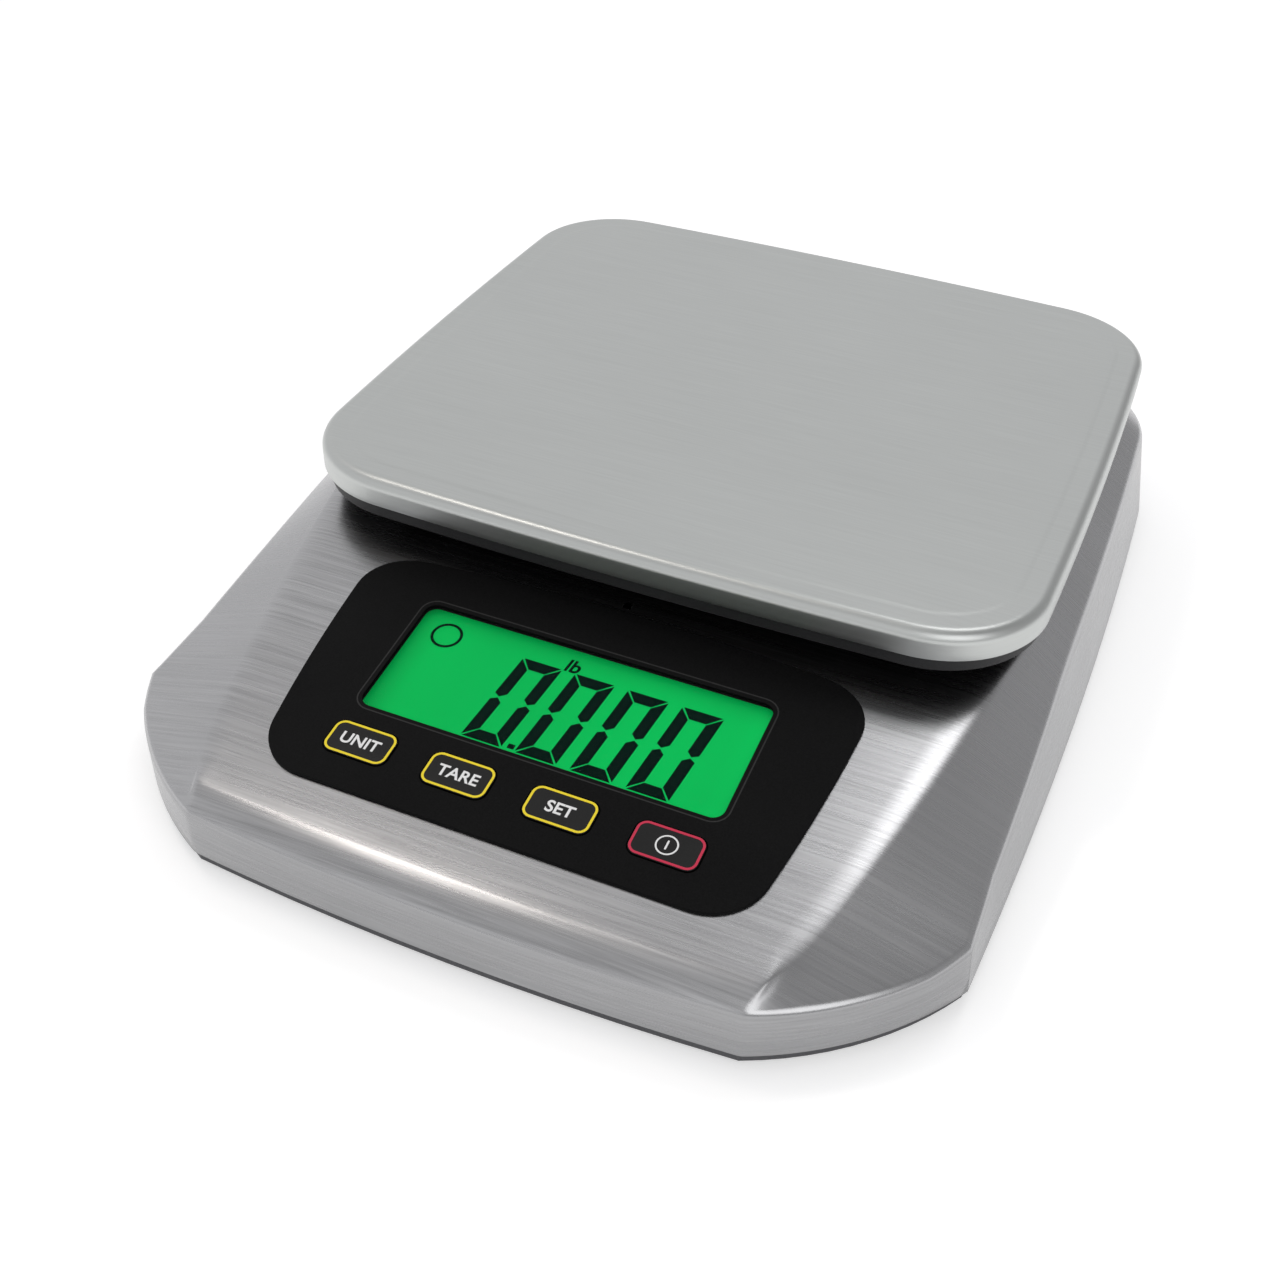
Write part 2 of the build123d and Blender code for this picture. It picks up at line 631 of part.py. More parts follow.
def make_upper_bracket():
    plate = block(0, PAN_Y, BRACKET_BOTTOM, BRACKET_TOP, BRACKET_LENGTH, BRACKET_WIDTH)
    plate = fillet(plate.edges().filter_by(Axis.Z), BRACKET_CORNER)
    for x, y in support_screw_centres():
        plate -= drum(x, y, BRACKET_BOTTOM - 1, BRACKET_TOP + 1, POST_SPIGOT_RADIUS + SEAT)
    for x, y in cell_live_screws():
        plate -= drum(x, y, BRACKET_BOTTOM - 1, BRACKET_TOP + 1, CELL_SCREW_RADIUS + SEAT)
    return plate


# ---------------------------------------------------------------- load cell
def make_load_cell():
    cell = block(0, PAN_Y, CELL_BOTTOM, CELL_TOP, CELL_LENGTH, CELL_WIDTH)
    middle = (CELL_BOTTOM + CELL_TOP) / 2
    for x in (-CELL_BORE_X, CELL_BORE_X):
        cell -= Pos(x, PAN_Y, middle) * Rot(90, 0, 0) * Cylinder(CELL_BORE_RADIUS, CELL_WIDTH + 2)
    cell -= Pos(0, PAN_Y, middle) * Box(2 * CELL_BORE_X, CELL_WIDTH + 2, CELL_SLOT)
    for x, y in cell_base_screws():
        cell -= drum(x, y, CELL_BOTTOM - 1, CELL_BOTTOM + CELL_HOLE_DEPTH, CELL_SCREW_RADIUS + SEAT)
    for x, y in cell_live_screws():
        cell -= drum(x, y, CELL_TOP - CELL_HOLE_DEPTH, CELL_TOP + 1, CELL_SCREW_RADIUS + SEAT)
    return cell


def make_cell_base():
    plate = block(CELL_FIXED_X, PAN_Y, RIM_BOTTOM, CELL_BOTTOM, CELL_BASE_LENGTH, CELL_BASE_WIDTH)
    plate -= block(CELL_FIXED_X + CELL_END, PAN_Y, CELL_BOTTOM - 1, CELL_BOTTOM + 1, CELL_END, CELL_WIDTH + 2)
    for x, y in cell_base_screws():
        plate -= drum(x, y, RIM_BOTTOM - 1, CELL_BOTTOM + 1, CELL_SCREW_RADIUS + SEAT)
    return plate


def make_cell_spacer():
    spacer = block(CELL_LIVE_X, PAN_Y, CELL_TOP, BRACKET_BOTTOM, CELL_END, CELL_WIDTH)
    for x, y in cell_live_screws():
        spacer -= drum(x, y, CELL_TOP - 1, BRACKET_BOTTOM + 1, CELL_SCREW_RADIUS + SEAT)
    return spacer


def make_cell_screws_base():
    screws = []
    for x, y in cell_base_screws():
        head = drum(x, y, TRAY_BOTTOM, TRAY_BOTTOM + SCREW_HEAD, CELL_SCREW_HEAD_RADIUS)
        head -= Pos(x, y, TRAY_BOTTOM) * extrude(RegularPolygon(HEX_RADIUS, 6), HEX_DEPTH)
        tip = CELL_BOTTOM + CELL_HOLE_DEPTH - 1
        screws.append(head + drum(x, y, TRAY_BOTTOM + SCREW_HEAD, tip, CELL_SCREW_RADIUS))
    return group(screws)


def make_cell_screws_live():
    screws = []
    for x, y in cell_live_screws():
        head = drum(x, y, BRACKET_TOP, BRACKET_TOP + SCREW_HEAD, CELL_SCREW_HEAD_RADIUS)
        recess = extrude(RegularPolygon(HEX_RADIUS, 6), SCREW_HEAD)
        head -= Pos(x, y, BRACKET_TOP + SCREW_HEAD - HEX_DEPTH) * recess
        tip = CELL_TOP - CELL_HOLE_DEPTH + 1
        screws.append(head + drum(x, y, tip, BRACKET_TOP, CELL_SCREW_RADIUS))
    return group(screws)


def make_overload_stops():
    stops = []
    for x, y in corners(STOP_X, STOP_Y):
        nut = Pos(x, PAN_Y + y, RIM_BOTTOM) * extrude(RegularPolygon(STOP_NUT_RADIUS, 6), STOP_NUT_HEIGHT)
        stops.append(nut + drum(x, PAN_Y + y, RIM_BOTTOM, BRACKET_BOTTOM - STOP_GAP, STOP_RADIUS))
    return group(stops)


# ---------------------------------------------------------------- display
def overlay_outline():
    top_x = WINDOW_WIDTH / 2 + OVERLAY_TOP_MARGIN[0]
    top_y = WINDOW_HEIGHT / 2 + OVERLAY_TOP_MARGIN[1]
    low_x = WINDOW_WIDTH / 2 + OVERLAY_BOTTOM_MARGIN
    low_y = KEY_ROW - OVERLAY_KEY_MARGIN
    crown = WINDOW_HEIGHT / 2 + OVERLAY_CROWN
    middle = ((top_x + low_x) / 2 + OVERLAY_SIDE_BULGE, (top_y + low_y) / 2)
    right = ThreePointArc((low_x, low_y), middle, (top_x, top_y))
    top = ThreePointArc((top_x, top_y), (0, crown), (-top_x, top_y))
    left = ThreePointArc((-top_x, top_y), (-middle[0], middle[1]), (-low_x, low_y))
    bottom = Line((-low_x, low_y), (low_x, low_y))
    face = make_face([right, top, left, bottom])
    return fillet(face.vertices(), OVERLAY_CORNER)


def make_display_overlay():
    overlay = on_deck(extrude(overlay_outline(), OVERLAY_THICK))
    overlay -= deck_slab(WINDOW_WIDTH, WINDOW_HEIGHT, -1, OVERLAY_THICK + 1, corner=WINDOW_CORNER)
    for x in key_centres():
        overlay -= deck_slab(
            KEY_WIDTH + 2 * GAP, KEY_HEIGHT + 2 * GAP, -1, OVERLAY_THICK + 1, x, KEY_ROW, KEY_CORNER + GAP
        )
    return overlay


def make_display_window():
    return deck_slab(LENS_WIDTH, LENS_HEIGHT, -LENS_THICK, 0, corner=WINDOW_CORNER)


def make_lcd_glass():
    lower = deck_slab(GLASS_WIDTH, GLASS_HEIGHT, GLASS_BOTTOM, GLASS_BOTTOM + GLASS_THICK / 2)
    upper = deck_slab(GLASS_WIDTH, GLASS_HEIGHT - 4 * ZEBRA_WIDTH, GLASS_BOTTOM + GLASS_THICK / 2, GLASS_TOP)
    return lower + upper


def make_lcd_backlight():
    width = GLASS_WIDTH - 2 * BACKLIGHT_INSET_X
    height = GLASS_HEIGHT - 2 * BACKLIGHT_INSET_Y
    return deck_slab(width, height, BACKLIGHT_BOTTOM, GLASS_BOTTOM, corner=1)


def make_lcd_frame():
    outer_x = GLASS_WIDTH + 2 * (SEAT + FRAME_WALL)
    outer_y = GLASS_HEIGHT + 2 * (SEAT + FRAME_WALL)
    frame = deck_slab(outer_x, outer_y, BOARD_SURFACE, -SHEET, corner=FRAME_CORNER)
    frame -= deck_slab(GLASS_WIDTH + 2 * SEAT, GLASS_HEIGHT + 2 * SEAT, BOARD_SURFACE - 1, GLASS_TOP)
    frame -= deck_slab(WINDOW_WIDTH + 1, WINDOW_HEIGHT + 1, GLASS_TOP - 1, 0, corner=WINDOW_CORNER)
    return frame


def make_zebra_strips():
    side = GLASS_HEIGHT / 2 - ZEBRA_WIDTH
    return group(
        deck_slab(ZEBRA_LENGTH, ZEBRA_WIDTH, BOARD_SURFACE, GLASS_BOTTOM, along=sign * side)
        for sign in (-1, 1)
    )


def make_main_board():
    height = BOARD_TOP - BOARD_BOTTOM
    middle = (BOARD_TOP + BOARD_BOTTOM) / 2
    low = BOARD_SURFACE - BOARD_THICK
    board = deck_slab(BOARD_WIDTH, height, low, BOARD_SURFACE, along=middle)
    for x, along in board_holes():
        board -= on_deck(Cylinder(BOARD_HOLE_RADIUS, 6 * BOARD_THICK), x, along, low)
    return board


def board_holes():
    """Corner fixings of the main board: x and distance up the slope."""
    side = BOARD_WIDTH / 2 - BOARD_HOLE_INSET
    ends = (BOARD_BOTTOM + BOARD_HOLE_INSET, BOARD_TOP - BOARD_HOLE_INSET)
    return [(x, along) for x in (-side, side) for along in ends]


def make_board_parts():
    """Processor, converter and power parts on the underside of the main board."""
    under = BOARD_SURFACE - BOARD_THICK
    parts = [
        deck_slab(14, 14, under - 1.6, under, -20, 4),
        deck_slab(10, 6.4, under - 2.0, under, 26, 12),
        deck_slab(12, 7, under - 6.0, under, 48, -8),
        deck_slab(20, 5.8, under - 5.6, under, 0, 32),
        on_deck(Cylinder(4, 7), -48, -6, under - 3.5),
        on_deck(Cylinder(4, 7), -48, 6, under - 3.5),
    ]
    return group(parts)


# ---------------------------------------------------------------- keys
def key_centres():
    first = KEY_CENTRE_X - 1.5 * KEY_PITCH
    return [first + index * KEY_PITCH for index in range(len(KEY_NAMES))]


def make_key(x):
    cap = extrude(RectangleRounded(KEY_WIDTH, KEY_HEIGHT, KEY_CORNER), KEY_THICK)
    cap = fillet(cap.faces().sort_by(Axis.Z)[-1].edges(), KEY_THICK / 2)
    stem = Pos(0, 0, (STEM_END - KEY_UNDER) / 2) * Cylinder(KEY_STEM_RADIUS, KEY_UNDER - STEM_END)
    return on_deck(cap + stem, x, KEY_ROW, KEY_UNDER)


def make_key_board():
    low = KEY_BOARD_SURFACE - BOARD_THICK
    along = KEY_ROW + KEY_BOARD_SHIFT
    return deck_slab(KEY_BOARD_WIDTH, KEY_BOARD_HEIGHT, low, KEY_BOARD_SURFACE, KEY_CENTRE_X, along)


def make_key_switches():
    return group(
        deck_slab(SWITCH_SIZE, SWITCH_SIZE, KEY_BOARD_SURFACE, SWITCH_TOP, x, KEY_ROW, SWITCH_SIZE / 10)
        for x in key_centres()
    )


def make_board_pillars():
    """Short pillars that hang the two boards from the underside of the deck."""
    pillars = []
    for x, along in board_holes():
        pillars.append(on_deck(tube(-SHEET - BOARD_SURFACE), x, along, BOARD_SURFACE))
    side = KEY_BOARD_WIDTH / 2 - KEY_PILLAR_INSET
    for x in (KEY_CENTRE_X - side, KEY_CENTRE_X + side):
        pillar = tube(-SHEET - KEY_BOARD_SURFACE)
        pillars.append(on_deck(pillar, x, KEY_ROW + 2 * KEY_BOARD_SHIFT, KEY_BOARD_SURFACE))
    return group(pillars)


def tube(height):
    """A short hollow pillar standing on the origin."""
    return Pos(0, 0, height / 2) * (
        Cylinder(PILLAR_RADIUS, height) - Cylinder(PILLAR_BORE_RADIUS, height + 1)
    )


# ---------------------------------------------------------------- battery compartment
def door_opening():
    """Width and depth of the opening in the tray under the batteries."""
    return BATTERY_INNER_X, BATTERY_INNER_Y


def make_battery_box():
    width, depth = door_opening()
    outer = (width + 2 * BATTERY_WALL, depth + 2 * BATTERY_WALL)
    box = block(0, BATTERY_Y, RIM_BOTTOM, BATTERY_TOP + BATTERY_WALL, *outer)
    flange_top = RIM_BOTTOM + BATTERY_FLANGE_THICK
    box += block(
        0, BATTERY_Y, RIM_BOTTOM, flange_top, outer[0] + 2 * BATTERY_FLANGE, outer[1] + BATTERY_FLANGE
    )
    return box - block(0, BATTERY_Y, RIM_BOTTOM - 1, BATTERY_TOP, width, depth)


def cell_centres_x():
    pitch = 2 * CELL_C_RADIUS + CELL_C_GAP
    return [(index - (CELL_C_COUNT - 1) / 2) * pitch for index in range(CELL_C_COUNT)]


def make_battery_cells():
    cells = []
    for index, x in enumerate(cell_centres_x()):
        turn = -1 if index % 2 else 1
        spring_end = BATTERY_Y - turn * BATTERY_INNER_Y / 2 + turn * (BATTERY_CONTACT + BATTERY_SPRING)
        middle = spring_end + turn * CELL_C_LENGTH / 2
        body = Pos(x, middle, CELL_C_AXIS_Z) * Rot(90, 0, 0) * Cylinder(CELL_C_RADIUS, CELL_C_LENGTH)
        tip = spring_end + turn * (CELL_C_LENGTH + CELL_C_NIPPLE / 2)
        body += Pos(x, tip, CELL_C_AXIS_Z) * Rot(90, 0, 0) * Cylinder(CELL_C_NIPPLE_RADIUS, CELL_C_NIPPLE)
        cells.append(body)
    return group(cells)


def make_battery_contacts():
    plates = []
    for index, x in enumerate(cell_centres_x()):
        turn = -1 if index % 2 else 1
        for end in (-1, 1):
            y = BATTERY_Y + end * (BATTERY_INNER_Y - BATTERY_CONTACT) / 2
            plate = Pos(x, y, CELL_C_AXIS_Z) * Box(CONTACT_WIDTH, BATTERY_CONTACT, CONTACT_HEIGHT)
            if end == -turn:
                inner = BATTERY_Y + end * (BATTERY_INNER_Y / 2 - BATTERY_CONTACT - BATTERY_SPRING / 2)
                wide, narrow = SPRING_RADII
                spring = Cone(wide, narrow, BATTERY_SPRING) - Cone(wide - 1, narrow - 1, BATTERY_SPRING)
                plate += Pos(x, inner, CELL_C_AXIS_Z) * Rot(end * 90, 0, 0) * spring
            plates.append(plate)
    return group(plates)


def make_battery_door():
    width, depth = door_opening()
    door_depth = depth - 2 * GAP - DOOR_MARGIN
    inside = TRAY_BOTTOM + DOOR_THICK
    door = block(0, BATTERY_Y - DOOR_MARGIN / 2, TRAY_BOTTOM, inside, width - 2 * GAP, door_depth)
    for x in (-width / 4, 0, width / 4):
        door += block(x, BATTERY_Y, inside, inside + DOOR_RIB_HEIGHT, DOOR_RIB, depth - 2 * DOOR_RIB_INSET)
    for row in GRIP_ROWS:
        y = BATTERY_Y - depth / 2 + row
        door -= block(0, y, TRAY_BOTTOM - 1, TRAY_BOTTOM + GRIP_DEPTH, GRIP_LENGTH, GRIP_WIDTH)
    return door


def make_load_cell_cable():
    """Lead from the fixed end of the load cell forwards, ending under the main board."""
    height = CELL_BOTTOM + CELL_HEIGHT / 2
    side = -CELL_LENGTH / 2 - CABLE_REACH
    turn_y = BATTERY_Y - BATTERY_INNER_Y / 2 - CABLE_REACH
    end = (side + 2 * CABLE_REACH, turn_y - 2 * CABLE_REACH, height - CABLE_REACH / 4)
    path = FilletPolyline(
        (-CELL_LENGTH / 2, PAN_Y, height),
        (side, PAN_Y, height),
        (side, turn_y, height),
        end,
        radius=CABLE_BEND,
    )
    section = Plane(origin=path @ 0, z_dir=path % 0) * Circle(CABLE_RADIUS)
    return sweep(section, path)


def main():
    pieces = {
        "housing_shell": make_housing_shell(),
        "base_tray": make_base_tray(),
        "feet": make_feet(),
        "shell_posts": make_shell_posts(),
        "base_screws": make_base_screws(),
        "platform_pan": make_platform_pan(),
        "platform_support": make_platform_support(),
        "support_pads": make_support_pads(),
        "platform_screws": make_platform_screws(),
        "support_posts": make_support_posts(),
        "upper_bracket": make_upper_bracket(),
        "load_cell": make_load_cell(),
        "cell_base": make_cell_base(),
        "cell_spacer": make_cell_spacer(),
        "cell_screws_base": make_cell_screws_base(),
        "cell_screws_live": make_cell_screws_live(),
        "overload_stops": make_overload_stops(),
        "display_overlay": make_display_overlay(),
        "display_window": make_display_window(),
        "lcd_glass": make_lcd_glass(),
        "lcd_backlight": make_lcd_backlight(),
        "lcd_frame": make_lcd_frame(),
        "zebra_strips": make_zebra_strips(),
        "main_board": make_main_board(),
        "board_parts": make_board_parts(),
        "board_pillars": make_board_pillars(),
        "key_board": make_key_board(),
        "key_switches": make_key_switches(),
        "battery_box": make_battery_box(),
        "battery_cells": make_battery_cells(),
        "battery_contacts": make_battery_contacts(),
        "battery_door": make_battery_door(),
        "load_cell_cable": make_load_cell_cable(),
    }
    for name, x in zip(KEY_NAMES, key_centres()):
        pieces[name] = make_key(x)
    for name, shape in pieces.items():
        save(shape, name)


main()
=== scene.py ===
import bmesh
import bpy
import json
import math
from mathutils import Matrix, Vector


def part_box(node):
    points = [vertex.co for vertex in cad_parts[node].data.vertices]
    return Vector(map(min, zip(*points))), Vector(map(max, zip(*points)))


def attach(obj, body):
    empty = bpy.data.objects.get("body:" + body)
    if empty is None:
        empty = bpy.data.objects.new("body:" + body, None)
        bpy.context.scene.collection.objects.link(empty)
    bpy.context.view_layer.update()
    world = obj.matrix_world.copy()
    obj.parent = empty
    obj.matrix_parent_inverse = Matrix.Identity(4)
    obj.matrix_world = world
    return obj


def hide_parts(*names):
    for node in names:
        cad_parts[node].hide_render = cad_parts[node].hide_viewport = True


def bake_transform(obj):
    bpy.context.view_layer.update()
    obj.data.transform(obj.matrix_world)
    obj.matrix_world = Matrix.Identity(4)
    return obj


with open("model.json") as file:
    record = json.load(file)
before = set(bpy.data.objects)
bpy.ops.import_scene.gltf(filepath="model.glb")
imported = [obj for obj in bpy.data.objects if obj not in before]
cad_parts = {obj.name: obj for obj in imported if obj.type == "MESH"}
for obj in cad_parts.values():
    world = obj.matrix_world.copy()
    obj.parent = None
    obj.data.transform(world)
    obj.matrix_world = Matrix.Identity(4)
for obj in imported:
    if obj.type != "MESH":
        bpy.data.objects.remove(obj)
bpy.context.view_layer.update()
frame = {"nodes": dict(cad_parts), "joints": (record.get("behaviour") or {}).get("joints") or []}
MM = 0.001

# ---------------- places read from the frame
SHELL_LOW, SHELL_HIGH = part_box("housing_shell")
PAN_LOW, PAN_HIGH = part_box("platform_pan")
WINDOW_LOW, WINDOW_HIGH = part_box("display_window")
PAN_Y = (PAN_LOW[1] + PAN_HIGH[1]) / 2
PAN_TOP = PAN_HIGH[2]
RIM_BOTTOM = SHELL_LOW[2]
DECK_LEVEL = SHELL_HIGH[2]
FRONT_Y = SHELL_LOW[1]
BACK_Y = SHELL_HIGH[1]
PRESS = next(j for j in frame["joints"] if j["name"] == "key_unit_press")
DECK_NORMAL = -Vector(PRESS["axis"]).normalized()
TILT = math.atan2(-DECK_NORMAL.y, DECK_NORMAL.z)
SLOPE = math.tan(TILT)
WINDOW_CENTRE = (Vector(WINDOW_LOW) + Vector(WINDOW_HIGH)) / 2
LENS_THICK = 1.0 * MM
DECK_ORIGIN = WINDOW_CENTRE + DECK_NORMAL * LENS_THICK / 2
DECK = Matrix.Translation(DECK_ORIGIN) @ Matrix.Rotation(TILT, 4, "X")

# ---------------- housing sizes, in metres
SHEET = 1.2 * MM
RIM_HEIGHT = 14.9 * MM
RIM_RISE = 0.137
RIM_EASE = 0.8 * MM
RIM_TALL = 29.5 * MM
WALL_DRAFT = 0.187
CORNER_X = 78.0 * MM
FRONT_BOW = 3.4 * MM
BOW_HALFWAY = 0.24
CHAMFER = (44.6 * MM, 41.8 * MM)
CHAMFER_BOW = 4.8 * MM
SIDE_BOW = 4.0 * MM
BACK_RADIUS = 45.0 * MM
BACK_BOW = 1.6 * MM
FACET_WIDTH = 17.5 * MM
RIDGE_SETBACK = 11.4 * MM
RIDGE_BOW = 2.2 * MM
HALF_WIDTH = 127.0 * MM
CREASE_MID = (91.7 * MM, -107.0 * MM)
CREASE_BACK = (107.0 * MM, -26.6 * MM)
FOLD_ROUND = 2.2 * MM
CREASE_ROUND = 2.6 * MM
DECK_SIDE = 14.0 * MM
CREASE_SHARE = 0.5
DECK_EASE = 3.0 * MM
DECK_BEND = 0.15
EASE_LIMIT = 20
CORE_Y = -5.0 * MM
CORE_SHARE = 0.3
CORE_WIDTH_SHARE = 0.12
LENS_HOLE = (112.4 * MM, 47.0 * MM)
LENS_HOLE_DEPTH = 12.0 * MM
STEM_HOLE_RADIUS = 3.0 * MM
POST_RADIUS = 5.0 * MM
POST_HOLE_RADIUS = 8.0 * MM
ROUND_CUTTER_DEPTH = 14.0 * MM

# ---------------- housing mesh, in points and steps
FRONT_POINTS = 30
CHAMFER_POINTS = 26
CREASE_POINTS = 200
CREASE_SPLIT = 0.31
SOFT_POINTS = 5
DRAFT_FADE = 12
APRON_FADE = 6
DECK_RINGS = 15
WELD = 0.001 * MM


# ---------------- view
VIEW_ANGLES = (22.437, 38.885, 1.928)
VIEW_OFFSET = (138.22, -424.82, 250.09)
VIEW_LENS = 43.38


def make_camera():
    """Camera to the operator's right of the display, looking down at the scale."""
    azimuth, elevation, roll = (math.radians(angle) for angle in VIEW_ANGLES)
    back = Vector(
        (
            math.sin(azimuth) * math.cos(elevation),
            -math.cos(azimuth) * math.cos(elevation),
            math.sin(elevation),
        )
    )
    right = Vector((math.cos(azimuth), math.sin(azimuth), 0))
    up = back.cross(right)
    rolled_right = right * math.cos(roll) + up * math.sin(roll)
    rolled_up = up * math.cos(roll) - right * math.sin(roll)
    data = bpy.data.cameras.new("camera")
    data.lens = VIEW_LENS
    data.sensor_width = 36.0
    data.clip_start = 0.01
    data.clip_end = 20
    camera = new_object("camera", data)
    turn = Matrix((rolled_right, rolled_up, back)).transposed().to_4x4()
    place = Vector((0, PAN_Y, PAN_TOP)) + Vector(VIEW_OFFSET) * MM
    camera.matrix_world = Matrix.Translation(place) @ turn
    bpy.context.scene.camera = camera


# ---------------- materials
MIX_FIRST = 6
MIX_SECOND = 7
MIX_RESULT = 2
UPRIGHT_TO_FLAT = (0.25, 0.6)
LEVEL_TO_FACET = (0.1, 0.42)
WALL_CALM = 0.5
LINE_DARK = 0.24
LINE_LIGHT = 0.16
BAND_DARK = 0.12
FACET_CALM = 0.88
CALM_TONE = 0.97
LINE_DEPTH = 0.012 * MM


def new_material(name):
    """A new node material and its principled shader."""
    material = bpy.data.materials.new(name)
    material.use_nodes = True
    shader = material.node_tree.nodes["Principled BSDF"]
    return material, shader


def add_node(material, kind, **settings):
    """A new node in a material or a world."""
    node = material.node_tree.nodes.new(kind)
    for key, value in settings.items():
        setattr(node, key, value)
    return node


def link(material, source, target):
    """Join two sockets of a material or a world."""
    material.node_tree.links.new(source, target)


def noise(material, vector, scale, detail, rough):
    """The grey output of a noise texture."""
    node = add_node(material, "ShaderNodeTexNoise")
    node.inputs["Scale"].default_value = scale
    node.inputs["Detail"].default_value = detail
    node.inputs["Roughness"].default_value = rough
    link(material, vector, node.inputs["Vector"])
    return node.outputs["Fac"]


def object_noise(material, scale, detail=3, rough=0.6):
    """Noise placed by object coordinates."""
    where = add_node(material, "ShaderNodeTexCoord")
    return noise(material, where.outputs["Object"], scale, detail, rough)


def ramp(material, factor, low, high, first, last):
    """Map a factor between two positions onto two grey levels or colours."""
    node = add_node(material, "ShaderNodeValToRGB")
    node.color_ramp.elements[0].position = low
    node.color_ramp.elements[1].position = high
    node.color_ramp.elements[0].color = as_colour(first)
    node.color_ramp.elements[1].color = as_colour(last)
    link(material, factor, node.inputs["Fac"])
    return node.outputs["Color"]


def as_colour(value):
    """Four channels from a grey level or three channels."""
    if isinstance(value, (int, float)):
        return (value, value, value, 1)
    return (*value, 1)


def multiply(material, first, second):
    """The product of two colours."""
    node = add_node(material, "ShaderNodeMix", data_type="RGBA", blend_type="MULTIPLY")
    node.inputs["Factor"].default_value = 1.0
    link(material, first, node.inputs[MIX_FIRST])
    link(material, second, node.inputs[MIX_SECOND])
    return node.outputs[MIX_RESULT]


def bump(material, shader, height, distance, strength):
    """Tilt the shader's normal by a grey height."""
    node = add_node(material, "ShaderNodeBump")
    node.inputs["Strength"].default_value = strength
    node.inputs["Distance"].default_value = distance
    link(material, height, node.inputs["Height"])
    link(material, node.outputs["Normal"], shader.inputs["Normal"])


def math_node(material, operation, first, second, third=None):
    """One arithmetic node; each input is a socket or a number."""
    node = add_node(material, "ShaderNodeMath", operation=operation)
    for index, value in enumerate((first, second, third)):
        if isinstance(value, (int, float)):
            node.inputs[index].default_value = value
        elif value is not None:
            link(material, value, node.inputs[index])
    return node.outputs[0]


def smooth_step(material, value, low, high, first=0.0, last=1.0):
    """Ease from the first result to the last as the value goes from low to high."""
    node = add_node(material, "ShaderNodeMapRange", interpolation_type="SMOOTHSTEP")
    node.inputs["From Min"].default_value = low
    node.inputs["From Max"].default_value = high
    node.inputs["To Min"].default_value = first
    node.inputs["To Max"].default_value = last
    link(material, value, node.inputs["Value"])
    return node.outputs["Result"]


def sheet_coordinates(material):
    """Place on the sheet, brushed along X on top and along the edge on upright walls.

    Also gives how far the sheet leans to a side as a facet, and how upright it stands.
    """
    where = add_node(material, "ShaderNodeTexCoord")
    place = add_node(material, "ShaderNodeSeparateXYZ")
    facing = add_node(material, "ShaderNodeSeparateXYZ")
    link(material, where.outputs["Object"], place.inputs[0])
    link(material, where.outputs["Normal"], facing.inputs[0])
    flat = smooth_step(material, facing.outputs["Z"], *UPRIGHT_TO_FLAT)
    wall = math_node(material, "SUBTRACT", 1.0, flat)
    across = math_node(material, "MULTIPLY", place.outputs["Y"], flat)
    across = math_node(material, "MULTIPLY_ADD", place.outputs["Z"], wall, across)
    lengthwise = math_node(material, "MULTIPLY_ADD", place.outputs["Y"], wall, place.outputs["X"])
    joined = add_node(material, "ShaderNodeCombineXYZ")
    link(material, lengthwise, joined.inputs[0])
    link(material, across, joined.inputs[1])
    sideways = math_node(material, "ABSOLUTE", facing.outputs["X"], 0.0)
    leaning = smooth_step(material, sideways, *LEVEL_TO_FACET)
    facet = math_node(material, "MULTIPLY", leaning, flat)
    facet = math_node(material, "MULTIPLY_ADD", wall, WALL_CALM, facet)
    return joined.outputs[0], facet, wall


def stretched(material, vector, along, across):
    """Coordinates scaled by one amount along the brushing and another across it."""
    node = add_node(material, "ShaderNodeVectorMath", operation="MULTIPLY")
    node.inputs[1].default_value = (along, across, along)
    link(material, vector, node.inputs[0])
    return node.outputs[0]


def brushed_steel(name, colour, rough, grain=1.0, cloud=0.12, painted_wall_shade=1.0):
    """Stainless sheet with fine straight brush lines, calmer on its leaning facets; painted shade darkens the
    colour of its upright walls.
    """
    material, shader = new_material(name)
    shader.inputs["Metallic"].default_value = 1.0
    shader.inputs["Anisotropic"].default_value = 0.3
    direction = add_node(material, "ShaderNodeCombineXYZ")
    direction.inputs[0].default_value = 1.0
    direction.inputs[1].default_value = 0.05
    link(material, direction.outputs[0], shader.inputs["Tangent"])
    sheet, facet, wall = sheet_coordinates(material)
    lines = noise(material, stretched(material, sheet, 30, 1300), 1.0, 4, 0.65)
    bands = noise(material, stretched(material, sheet, 9, 420), 1.0, 4, 0.65)
    patches = noise(material, stretched(material, sheet, 9, 16), 1.0, 3, 0.55)
    dark = tuple(part * (1 - LINE_DARK * grain) for part in colour)
    light = tuple(min(1.0, part * (1 + LINE_LIGHT * grain)) for part in colour)
    base = ramp(material, lines, 0.3, 0.7, dark, light)
    base = multiply(material, base, ramp(material, bands, 0.32, 0.68, 1 - BAND_DARK * grain, 1.0))
    calm = add_node(material, "ShaderNodeMix", data_type="RGBA")
    link(material, math_node(material, "MULTIPLY", facet, FACET_CALM), calm.inputs["Factor"])
    link(material, base, calm.inputs[MIX_FIRST])
    calm.inputs[MIX_SECOND].default_value = as_colour(tuple(part * CALM_TONE for part in colour))
    shades = ramp(material, patches, 0.3, 0.75, 1 - cloud, 1.0)
    base = multiply(material, calm.outputs[MIX_RESULT], shades)
    # Painted shade: the colour of upright walls is multiplied down by the wall shade factor, standing in for
    # the darker surroundings they reflect.
    base = multiply(material, base, ramp(material, wall, 0.0, 1.0, 1.0, painted_wall_shade))
    link(material, base, shader.inputs["Base Color"])
    gloss = ramp(material, bands, 0.25, 0.75, rough - 0.02, rough + 0.03)
    link(material, gloss, shader.inputs["Roughness"])
    calm_lines = math_node(material, "MULTIPLY", lines, math_node(material, "SUBTRACT", 1.0, facet))
    bump(material, shader, calm_lines, LINE_DEPTH * grain, 0.5)
    return material


